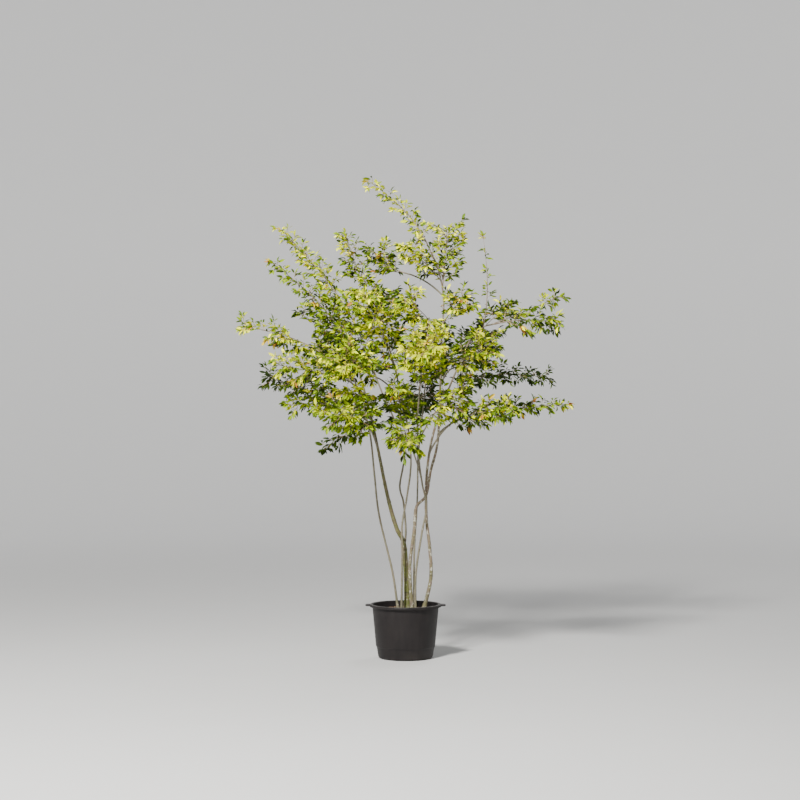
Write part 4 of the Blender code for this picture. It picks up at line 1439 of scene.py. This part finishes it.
class MassGrowth:
    """One mass as it grows: its seeded numbers, its twigs and its leaves."""

    def __init__(self, spaces: CrownSpaces, number: int) -> None:
        """Start a mass from its row of the plan.

        Args:
            spaces: The crown's spaces.
            number: The mass's number in the plan.
        """
        self.spaces = spaces
        self.number = number
        self.mass = MASSES[number]
        self.rng = random.Random(SEED + number)
        self.axis = spaces.axis_path(self.mass, RULE.axis_steps)
        self.length = lengths_along(self.axis)[-1]
        self.tints = LEAF_RANGES[self.mass.slot]
        self.twigs: list[Twig] = []
        self.leaves: list[LeafPlan] = []

    def fits(self, points: list[Vector]) -> bool:
        """Return whether all the points may be used by this mass."""
        return bool(self.spaces.kept(np.array(points), self.number).all())

    def spray_tint(self, place: Vector, outer: float) -> int:
        """Pick a spray's tint by where it is: paler towards the light and the outside.

        Args:
            place: Where the spray is.
            outer: How far out in its mass it is, from 0 to 1.

        Returns:
            The tint's number in the mass's range.
        """
        facing = (place - CROWN_CENTRE).dot(SUNWARD) / CROWN_RADIUS
        light = (RULE.light_middle + RULE.light_facing * facing + RULE.light_outer * outer
                 + self.rng.uniform(-RULE.light_scatter, RULE.light_scatter))
        last = len(self.tints) - 1
        return min(last, max(0, round(light * last)))

    def add_leaf(self, foot: Vector, direction: Vector, size: float, tint: int) -> None:
        """Add one leaf that droops, turns its face to the light and is rolled at random.

        Args:
            foot: Where its stalk leaves the twig.
            direction: Where it would point if it were stiff.
            size: Its length as a share of a grown leaf's.
            tint: The tint's number in the mass's range.
        """
        direction = direction.copy()
        direction.z -= self.rng.uniform(*RULE.leaf_droops)
        direction.normalize()
        facing = UP + SUNWARD * RULE.leaf_sunward
        level = (facing - direction * facing.dot(direction)).normalized()
        normal = Quaternion(direction, self.rng.gauss(0.0, RULE.leaf_roll)) @ level
        length = self.rng.uniform(*RULE.leaf_lengths) * size
        stalk = length * self.rng.uniform(*RULE.stalk_share)
        self.leaves.append(LeafPlan(foot, direction, normal, length, stalk,
                                    self.leaf_tint(tint)))

    def leaf_tint(self, tint: int) -> Tint:
        """Pick one leaf's tint near its spray's; a young spray has young leaves' tints."""
        if tint == YOUNG:
            return self.rng.choice(YOUNG_TINTS)
        tint += self.rng.choice(RULE.tint_shifts)
        return self.tints[min(max(tint, 0), len(self.tints) - 1)]

    def add_end(self, point: Vector, direction: Vector, tint: int, size: float = 1.0) -> None:
        """Add the small cluster of leaves that ends a twig.

        Args:
            point: The twig's tip.
            direction: The twig's direction there.
            tint: The spray's tint number.
            size: The leaves' length as a share of a grown leaf's.
        """
        if self.rng.random() < RULE.young_share and self.mass.slot is not Slot.SHADED:
            tint = YOUNG
        roll = self.rng.uniform(0.0, math.tau)
        for index in range(RULE.end_leaves):
            outward = outward_from(direction, roll + GOLDEN_ANGLE * index)
            spread = RULE.end_spread * (index / RULE.end_leaves
                                        + self.rng.uniform(0.0, RULE.end_scatter))
            self.add_leaf(point, between(direction, outward, spread),
                          size * self.rng.uniform(*RULE.end_sizes), tint)

    def add_twig(self, start: Vector, direction: Vector, span: float, order: int,
                 tint: int) -> None:
        """Grow one bending twig with alternate leaves, its own side spurs and an end cluster.

        Args:
            start: Where it leaves its parent.
            direction: Which way it leaves.
            span: Its length.
            order: 0 for a side twig, 1 for a spur on one.
            tint: The spray's tint number.
        """
        end = start + direction * span
        sideways = direction.cross(UP) * self.rng.uniform(-1.0, 1.0)
        middle = start.lerp(end, 0.5) + (sideways - UP * self.rng.uniform(*RULE.side_sags)) * (
            span * RULE.side_bend)
        if not self.fits([middle, end]):
            return
        points = bent_line(start, middle, end, RULE.side_steps)
        thick = RULE.twig_tip_radius + span * RULE.twig_thickening
        newer, older = (Tint.TWIG_TAN, Tint.TWIG_RED), (Tint.TWIG_OLD, Tint.TWIG_TAN)
        colour = (newer if self.rng.random() < RULE.new_wood_share else older)[order]
        self.twigs.append(Twig(points, twig_radii(points, thick), colour,
                               RULE.side_sides - order))
        self.add_end(end, (points[-1] - points[-2]).normalized(), tint)
        self.add_alternate_leaves(points, span, tint)
        if order == 0:
            self.add_spurs(points, span, tint)

    def add_alternate_leaves(self, points: list[Vector], span: float, tint: int) -> None:
        """Set leaves by turns on one side and the other of a twig.

        Args:
            points: The twig's centre line.
            span: Its length.
            tint: The spray's tint number.
        """
        count = int(span * (1.0 - RULE.leaf_first) / RULE.leaf_spacing)
        for index in range(count):
            share = 1.0 - (index + RULE.leaf_last) * RULE.leaf_spacing / span
            point, direction = point_along(points, share)
            roll = math.pi * index + self.rng.uniform(-RULE.leaf_turn, RULE.leaf_turn)
            outward = outward_from(direction, roll)
            angle = self.rng.uniform(*RULE.leaf_angles)
            self.add_leaf(point, between(direction, outward, angle), 1.0, tint)

    def add_spurs(self, points: list[Vector], span: float, tint: int) -> None:
        """Grow spurs by turns on one side and the other of a side twig.

        Args:
            points: The twig's centre line.
            span: Its length.
            tint: The spray's tint number.
        """
        place = RULE.spur_first * span
        side = self.rng.choice((-1.0, 1.0))
        while place < span * RULE.spur_last:
            point, direction = point_along(points, place / span)
            length = (span * self.rng.uniform(*RULE.spur_share)
                      * (RULE.spur_taper - place / span))
            turn = side * math.pi / 2 - math.pi / 2
            outward = outward_from(
                direction, turn + self.rng.uniform(-RULE.spur_turn, RULE.spur_turn))
            along, aside = RULE.spur_heading
            heading = (direction * along + outward * aside).normalized()
            if length > RULE.spur_least:
                self.add_twig(point, heading, length, 1, tint)
            side = -side
            place += RULE.spur_spacing

    def grow(self) -> None:
        """Grow the leading twig, then side twigs or clusters in turn up the axis."""
        limb = self.spaces.framework.limbs[self.mass.limb]
        base = limb.radii[-1] if self.mass.height is None else RULE.stem_radius
        end, heading = point_along(self.axis, 1.0 - RULE.leaf_inset / self.length)
        points = [point for point in self.axis
                  if (point - self.axis[-1]).length > RULE.axis_gap] + [end]
        self.twigs.append(Twig(points, twig_radii(points, base), Tint.TWIG_OLD,
                               RULE.axis_sides))
        top_tint = self.spray_tint(end, 1.0)
        self.add_end(end, heading, YOUNG if self.mass.slot is Slot.TIPS else top_tint)
        self.add_tip_leaf(end, top_tint)
        slender = self.mass.reach < RULE.slender_reach
        if not slender:
            self.add_alternate_leaves(points, lengths_along(points)[-1], top_tint)
        roll = self.rng.uniform(0.0, math.tau)
        distance = max(RULE.first_place, self.length * self.mass.bare)
        while distance < self.length - RULE.leaf_inset:
            along = distance / self.length
            point, tangent = point_along(self.axis, along)
            span = (reach_at(self.mass, along) * self.rng.uniform(*RULE.side_variation)
                    - RULE.leaf_inset)
            roll += GOLDEN_ANGLE
            outward = outward_from(tangent, roll)
            heading = between(tangent, outward, RULE.side_angle)
            heading.z += RULE.side_lift
            heading.normalize()
            tint = self.spray_tint(point + heading * span, along)
            if slender and (self.length - distance) % RULE.group_spacing > RULE.group_length:
                distance += RULE.side_spacing
                continue
            if span > RULE.side_least:
                self.add_twig(point, heading, span, 0, tint)
            else:
                self.add_end(point, heading, tint, RULE.small_end)
            distance += RULE.side_spacing * self.rng.uniform(*RULE.side_jitter)

    def add_tip_leaf(self, end: Vector, tint: int) -> None:
        """Add the leaf that reaches the mass's furthest tip."""
        run = self.axis[-1] - end
        direction = run.normalized()
        normal = (UP - direction * direction.z).normalized()
        stalk = run.length * RULE.stalk_share[0]
        tint = self.tints[min(tint, len(self.tints) - 1)]
        self.leaves.append(LeafPlan(end, direction, normal, run.length - stalk, stalk, tint))

    def fitting_leaves(self) -> list[LeafPlan]:
        """Return the leaves whose rib and tip both lie in the mass's own space."""
        roots = np.array([leaf.root for leaf in self.leaves])
        runs = np.array([leaf.direction * leaf.length for leaf in self.leaves])
        kept = (self.spaces.kept(roots + runs, self.number)
                & self.spaces.kept(roots + runs * RULE.leaf_middle, self.number))
        return [leaf for leaf, keep in zip(self.leaves, kept) if keep]


@dataclass
class Foliage:
    """All the masses, joined by kind: leaves by slot, and twigs with their leaf stalks."""

    spaces: CrownSpaces
    form: LeafForm = LeafForm()
    stalk_sides: int = 3

    def build(self) -> None:
        """Grow every mass and make the pieces."""
        rng = random.Random(SEED)
        growths = []
        for number in range(len(MASSES)):
            growth = MassGrowth(self.spaces, number)
            growth.grow()
            growth.leaves = growth.fitting_leaves()
            growths.append(growth)
        log.info("%d twigs and %d leaves", sum(len(growth.twigs) for growth in growths),
                 sum(len(growth.leaves) for growth in growths))
        for slot in LEAF_RANGES:
            chosen = [growth for growth in growths if growth.mass.slot is slot]
            self.build_leaves(slot, chosen, rng)
        self.build_twigs(growths)

    def build_leaves(self, slot: Slot, growths: list[MassGrowth], rng: random.Random) -> None:
        """Make one piece of all the leaves of a slot.

        Args:
            slot: The record's slot.
            growths: The grown masses of that slot.
            rng: Where the leaves' folds are drawn from.
        """
        used = {leaf.tint for growth in growths for leaf in growth.leaves}
        tints = [tint for tint in Tint if tint in used]
        gathering = Gathering()
        for growth in growths:
            for leaf in growth.leaves:
                self.form.add(gathering, leaf, tints.index(leaf.tint), rng)
        name = slot.value.replace("leaf_", "leaves_")
        piece = gathering.build(name, [tint.material() for tint in tints])
        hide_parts(*(growth.mass.name for growth in growths))

    def build_twigs(self, growths: list[MassGrowth]) -> None:
        """Make one piece of all the twigs and one of all the leaf stalks.

        Args:
            growths: All the grown masses.
        """
        tints = [Tint.TWIG_OLD, Tint.TWIG_TAN, Tint.TWIG_RED]
        twigs = Gathering()
        stalks = Gathering()
        for growth in growths:
            for twig in growth.twigs:
                twigs.add(*tube(np.array(twig.points), np.array(twig.radii), twig.sides),
                          tints.index(twig.tint))
            for leaf in growth.leaves:
                inside = leaf.direction * leaf.length * self.form.stalk_overlap
                line = np.array((leaf.foot, leaf.root + inside))
                stalks.add(*tube(line, np.full(2, self.form.stalk_radius), self.stalk_sides))
        masses = [mass.name for mass in MASSES]
        for piece in (twigs.build("twigs", [tint.material() for tint in tints]),
                      stalks.build("leaf_stalks", [Tint.STALK.material()])):
            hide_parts(*masses)


# ------------------------------------------------------------------ pot and potting mix
def turned(profile: list[tuple[float, float]], sides: int) -> tuple[np.ndarray, list]:
    """Turn (radius, height) points about Z; a point of radius 0 closes on the axis.

    Args:
        profile: The points, from the axis outwards and round.
        sides: The steps of the turn.

    Returns:
        The points and faces.
    """
    vertices = []
    rings = []
    for radius, height in profile:
        count = sides if radius > 0.0 else 1
        rings.append(range(len(vertices), len(vertices) + count))
        for step in range(count):
            vertices.append((*polar(radius, math.tau * step / sides), height))
    faces = []
    for low, high in zip(rings, rings[1:]):
        for step in range(sides):
            after = (step + 1) % sides
            corners = (low[step % len(low)], low[after % len(low)],
                       high[after % len(high)], high[step % len(high)])
            faces.append(tuple(dict.fromkeys(corners)))
    return np.array(vertices), faces


def plain_object(name: str, vertices: np.ndarray, faces: list) -> bpy.types.Object:
    """Make an object with no finish, for use by a modifier."""
    mesh = bpy.data.meshes.new(name)
    mesh.from_pydata(vertices.tolist(), [], faces)
    return linked_object(name, mesh)


def rounded(corners: list[tuple[float, float, float]], steps: int = 4,
            most: float = 0.48) -> list:
    """Round a profile's corners with short arcs.

    Args:
        corners: The corners as (radius, height, rounding).
        steps: The steps of each arc.
        most: The most of each side that an arc may take.

    Returns:
        The profile as (radius, height) points.
    """
    found = []
    for index, (x, z, rounding) in enumerate(corners):
        here = Vector((x, z))
        if rounding == 0.0 or index in (0, len(corners) - 1):
            found.append((x, z))
            continue
        sides = [Vector(corners[index + turn][:2]) - here for turn in (-1, 1)]
        start, end = (here + side.normalized() * min(rounding, side.length * most)
                      for side in sides)
        found.extend(tuple(point) for point in bent_line(start, here, end, steps))
    return found


@dataclass
class NurseryPot:
    """The moulded pot: turned wall with a foot, a step and a rolled rim, and two lugs."""

    sides: int = 96
    height: float = 0.320
    wall: float = 0.003
    floor: float = 0.004
    foot_radius: float = 0.162
    foot_round: float = 0.010
    step_height: float = 0.066
    step_radius: float = 0.172
    step_out: float = 0.004
    step_rise: float = 0.005
    wall_top_height: float = 0.300
    wall_top_radius: float = 0.197
    rim_radius: float = 0.213
    rim_drop: float = 0.015
    rim_thickness: float = 0.0035
    lug_reach: float = 0.240
    lug_thickness: float = 0.005
    lug_half_angle: float = math.radians(13.0)
    lug_drop: float = 0.004
    lug_squareness: int = 6
    lug_least: float = 0.0005
    lug_edge: float = 0.3
    lug_steps: int = 16
    drain_count: int = 6
    drain_radius: float = 0.008
    drain_ring: float = 0.125
    drain_sides: int = 20
    sharp_angle: float = math.radians(38.0)

    def profile(self) -> list[tuple[float, float]]:
        """Return the wall's section, from the underside's middle round to the floor's."""
        step_top = self.step_height + self.step_rise
        rim_low = self.height - self.rim_drop
        lip = self.rim_radius - self.rim_thickness
        corners = [
            (0.0, 0.0, 0.0),
            (self.foot_radius - self.foot_round, 0.0, 0.003),
            (self.foot_radius, self.foot_round * 0.8, 0.006),
            (self.step_radius, self.step_height, 0.002),
            (self.step_radius + self.step_out, step_top, 0.002),
            (self.wall_top_radius, self.wall_top_height, 0.004),
            (self.wall_top_radius, self.height - self.rim_thickness, 0.001),
            (lip, self.height - self.rim_thickness, 0.001),
            (lip, rim_low, 0.0006),
            (self.rim_radius, rim_low, 0.0010),
            (self.rim_radius, self.height, 0.0040),
            (self.wall_top_radius - self.wall, self.height, 0.003),
            (self.wall_top_radius - self.wall, self.wall_top_height, 0.004),
            (self.step_radius + self.step_out - self.wall, step_top, 0.002),
            (self.step_radius - self.wall, self.step_height, 0.002),
            (self.foot_radius - self.wall, self.foot_round, 0.004),
            (self.foot_radius - self.foot_round, self.floor, 0.002),
            (0.0, self.floor, 0.0),
        ]
        return rounded(corners)

    def lug(self, middle: float) -> tuple[np.ndarray, list]:
        """Make one carrying lug: a flat ear with round ends on the rim.

        Args:
            middle: Its direction from the pot's axis, in radians.

        Returns:
            The points and faces.
        """
        top = self.height - self.lug_drop
        inner = self.rim_radius - self.rim_thickness / 2.0
        vertices = []
        for step in range(self.lug_steps + 1):
            share = 2.0 * step / self.lug_steps - 1.0
            turn = middle + self.lug_half_angle * share
            reach = inner + (self.lug_reach - inner) * math.sqrt(
                1.0 - share ** self.lug_squareness)
            reach = max(reach, inner + self.lug_least)
            edge = self.lug_thickness * self.lug_edge
            for radius, height in ((inner, top - self.lug_thickness),
                                   (reach - edge, top - self.lug_thickness),
                                   (reach, top - self.lug_thickness * 0.5),
                                   (reach - edge, top), (inner, top)):
                vertices.append((*polar(radius, turn), height))
        return np.array(vertices), ring_faces(self.lug_steps + 1, 5)

    def build(self) -> None:
        """Make the pot, with its drain holes cut through the floor."""
        vertices, faces = self.drilled_wall()
        gathering = Gathering()
        gathering.add(vertices, faces)
        for middle in (0.0, math.pi):
            gathering.add(*self.lug(middle))
        pot = gathering.build("pot_shell", [PotPlastic().material()], self.sharp_angle)
        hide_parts("pot")

    def drilled_wall(self) -> tuple[np.ndarray, list]:
        """Turn the wall and cut the drain holes through its floor.

        Returns:
            The wall's points and faces.
        """
        wall = plain_object("wall", *turned(self.profile(), self.sides))
        hole = [(0.0, -self.floor), (self.drain_radius, -self.floor),
                (self.drain_radius, self.floor * 2.0), (0.0, self.floor * 2.0)]
        vertices, faces = turned(hole, self.drain_sides)
        drains = Gathering()
        for index in range(self.drain_count):
            turn = math.tau * (index + 0.5) / self.drain_count
            drains.add(vertices + (*polar(self.drain_ring, turn), 0.0), faces)
        cutter = plain_object("drains", np.concatenate(drains.vertices), drains.faces)
        cut = wall.modifiers.new("drains", "BOOLEAN")
        cut.operation = "DIFFERENCE"
        cut.object = cutter
        cut.solver = "EXACT"
        result = wall.evaluated_get(bpy.context.evaluated_depsgraph_get()).to_mesh()
        vertices = np.array([vertex.co for vertex in result.vertices])
        faces = [tuple(face.vertices) for face in result.polygons]
        for used in (wall, cutter):
            bpy.data.objects.remove(used, do_unlink=True)
        return vertices, faces


@dataclass
class PottingMix:
    """The crumbly surface of the mix, with bark chips on it."""

    height: float = 0.285
    radius: float = 0.1915
    edge_fall: float = 0.004
    depth: float = 0.012
    rings: int = 64
    sides: int = 150
    clod_depth: float = 0.0045
    chip_count: int = 620
    chip_lengths: tuple[float, float] = (0.005, 0.017)
    clod_scales: Place = (34.0, 90.0, 210.0)
    clod_shares: Place = (0.6, 0.4, 0.5)
    clod_sink: float = 0.1
    edge_calm: float = 0.5
    edge_width: float = 0.030
    chip_widths: tuple[float, float] = (0.3, 0.7)
    chip_depths: tuple[float, float] = (0.12, 0.3)
    chip_tilts: tuple[float, float] = (0.35, 0.25)
    chip_lift: float = 0.3
    chip_swells: tuple[float, float] = (0.75, 1.1)
    chip_swells_up: tuple[float, float] = (0.7, 1.2)
    chip_sides: int = 6
    chip_sharp_angle: float = math.radians(30.0)

    def surface_at(self, x: float, y: float) -> float:
        """Return the mix's height at a place."""
        place = Vector((x, y, 0.0))
        coarse, middle, fine = (noise.noise(place * scale) for scale in self.clod_scales)
        clods = coarse * self.clod_shares[0] + middle * self.clod_shares[1]
        crumbs = abs(fine) * self.clod_shares[2]
        fall = max(0.0, math.hypot(x, y) - self.radius + self.edge_width) / self.edge_width
        return (self.height - self.edge_fall * fall
                + (clods + crumbs - self.clod_sink) * self.clod_depth
                * (1.0 - self.edge_calm * fall))

    def build(self) -> None:
        """Make the surface and what lies on it."""
        vertices = [(0.0, 0.0, self.surface_at(0.0, 0.0))]
        for ring in range(1, self.rings + 1):
            radius = self.radius * ring / self.rings
            for side in range(self.sides):
                x, y = polar(radius, math.tau * side / self.sides)
                vertices.append((x, y, self.surface_at(x, y)))
        for side in range(self.sides):
            vertices.append((*polar(self.radius, math.tau * side / self.sides),
                             self.height - self.edge_fall - self.depth))
        faces = [(0, 1 + side, 1 + (side + 1) % self.sides) for side in range(self.sides)]
        faces += [tuple(corner + 1 for corner in face)
                  for face in ring_faces(self.rings + 1, self.sides, closed_ends=False)]
        gathering = Gathering()
        gathering.add(np.array(vertices), faces)
        piece = gathering.build("potting_mix_surface", [MixPeat().material()])
        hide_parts("potting_mix")
        self.build_litter()

    def build_litter(self) -> None:
        """Scatter bark chips over the surface."""
        rng = random.Random(SEED)
        chips = Gathering()
        for _ in range(self.chip_count):
            length = rng.uniform(*self.chip_lengths)
            sizes = Vector((length, length * rng.uniform(*self.chip_widths),
                            length * rng.uniform(*self.chip_depths)))
            self.scatter(chips, rng, sizes)
        piece = chips.build("bark_chips", [ChipBark().material()], self.chip_sharp_angle)

    def scatter(self, gathering: Gathering, rng: random.Random, sizes: Vector) -> None:
        """Lay one lumpy chip on the surface, turned and tilted at random.

        Args:
            gathering: The piece.
            rng: Where its place, turn and lumps are drawn from.
            sizes: Its length, width and thickness.
        """
        radius = (self.radius - sizes.x) * math.sqrt(rng.random())
        x, y = polar(radius, rng.uniform(0.0, math.tau))
        attitude = (Quaternion(UP, rng.uniform(0.0, math.tau))
                    @ Quaternion(Vector((1.0, 0.0, 0.0)), rng.gauss(0.0, self.chip_tilts[0]))
                    @ Quaternion(Vector((0.0, 1.0, 0.0)), rng.gauss(0.0, self.chip_tilts[1])))
        middle = Vector((x, y, self.surface_at(x, y) + sizes.z * self.chip_lift))
        vertices = []
        for level in (-0.5, 0.5):
            for side in range(self.chip_sides):
                angle = math.tau * side / self.chip_sides
                swell = rng.uniform(*self.chip_swells)
                point = Vector((math.cos(angle) * sizes.x / 2.0 * swell,
                                math.sin(angle) * sizes.y / 2.0 * swell,
                                level * sizes.z * rng.uniform(*self.chip_swells_up)))
                vertices.append(middle + attitude @ point)
        gathering.add(np.array(vertices), ring_faces(2, self.chip_sides))


# ------------------------------------------------------------------ stage
class Lamp(NamedTuple):
    """One soft square lamp: where it hangs, its side, its power in watts and its colour."""

    name: str
    place: Place
    size: float
    power: float
    colour: Colour


LAMPS = (
    Lamp("key", (-2.6, -6.3, 6.2), 1.1, 1850.0, (1.0, 0.985, 0.95)),
    Lamp("fill", (5.0, -6.0, 3.4), 3.5, 30.0, (0.92, 0.96, 1.0)),
    Lamp("back", (2.0, 4.0, 6.0), 2.5, 160.0, (1.0, 1.0, 1.0)),
)


@dataclass
class Studio:
    """A pale round floor that runs up into a wall all round, soft lamps and the camera."""

    lens: float = 83.2
    sensor: float = 36.0
    aim: Place = (0.0, 0.0, 1.6)
    sky: Colour = (0.86, 0.90, 0.95)
    sky_strength: float = 0.07
    paper: Colour = (0.54, 0.54, 0.535)
    fibre_lift: float = 1.03
    glow: Colour = (0.36, 0.36, 0.36)
    glow_edges: tuple[float, float] = (1.5, 11.5)
    floor_radius: float = 11.5
    bend: float = 3.5
    top: float = 8.5
    bend_steps: int = 16
    sides: int = 96

    def build(self) -> None:
        """Make the backdrop, the lamps, the world's light and the camera."""
        self.build_backdrop()
        for lamp in LAMPS:
            self.hang(lamp)
        world = bpy.data.worlds.new("studio")
        world.use_nodes = True
        background = world.node_tree.nodes["Background"]
        background.inputs["Color"].default_value = (*self.sky, 1.0)
        background.inputs["Strength"].default_value = self.sky_strength
        bpy.context.scene.world = world
        self.build_camera()

    def build_backdrop(self) -> None:
        """Make the floor and the wall round it as one turned sheet with a wide bend."""
        line = [(0.0, 0.0), (self.floor_radius, 0.0)]
        for step in range(1, self.bend_steps + 1):
            turn = math.pi / 2.0 * step / self.bend_steps
            line.append((self.floor_radius + self.bend * math.sin(turn),
                         self.bend - self.bend * math.cos(turn)))
        line.append((self.floor_radius + self.bend, self.top))
        backdrop = plain_object("backdrop", *turned(line, self.sides))
        backdrop.data.shade_smooth()
        backdrop.data.materials.append(self.paper_material())

    def paper_material(self) -> bpy.types.Material:
        """Make the paper, which glows a little where it is far from the lamps."""
        surface = Surface("paper")
        fibre = surface.grain(surface.place(), 3.0, 3.0)
        pale = tuple(value * self.fibre_lift for value in self.paper)
        tone = surface.blend(fibre, self.paper, pale)
        far = surface.signal("ShaderNodeVectorMath", {"operation": "LENGTH"},
                             {0: surface.point()}, "Value")
        glow = surface.blend(far.step(*self.glow_edges), (0.0, 0.0, 0.0), self.glow)
        return surface.finish(Base_Color=tone, Roughness=0.95, Emission_Color=glow,
                              Emission_Strength=1.0)

    def hang(self, lamp: Lamp) -> None:
        """Hang one lamp that faces the crown and isn't seen itself.

        Args:
            lamp: The lamp.
        """
        light = bpy.data.lights.new(lamp.name, "AREA")
        light.size = lamp.size
        light.energy = lamp.power
        light.color = lamp.colour
        hung = linked_object(lamp.name, light)
        hung.location = lamp.place
        hung.visible_camera = False
        facing = Vector(self.aim) - Vector(lamp.place)
        hung.rotation_euler = facing.to_track_quat("-Z", "Y").to_euler()

    def build_camera(self) -> None:
        """Set up the camera, level and straight on."""
        camera = bpy.data.cameras.new("camera")
        camera.lens = self.lens
        camera.sensor_width = self.sensor
        held = linked_object("camera", camera)
        held.location = EYE
        held.rotation_euler = (math.radians(90.0), 0.0, 0.0)
        bpy.context.scene.camera = held


def main() -> None:
    """Build the pot, the mix, the limbs, the foliage and the studio in turn."""
    logging.basicConfig(level=logging.INFO, format="%(name)s: %(message)s")
    NurseryPot().build()
    PottingMix().build()
    framework = Framework()
    framework.build()
    Foliage(CrownSpaces(framework)).build()
    Studio().build()


if __name__ == "__main__":
    main()
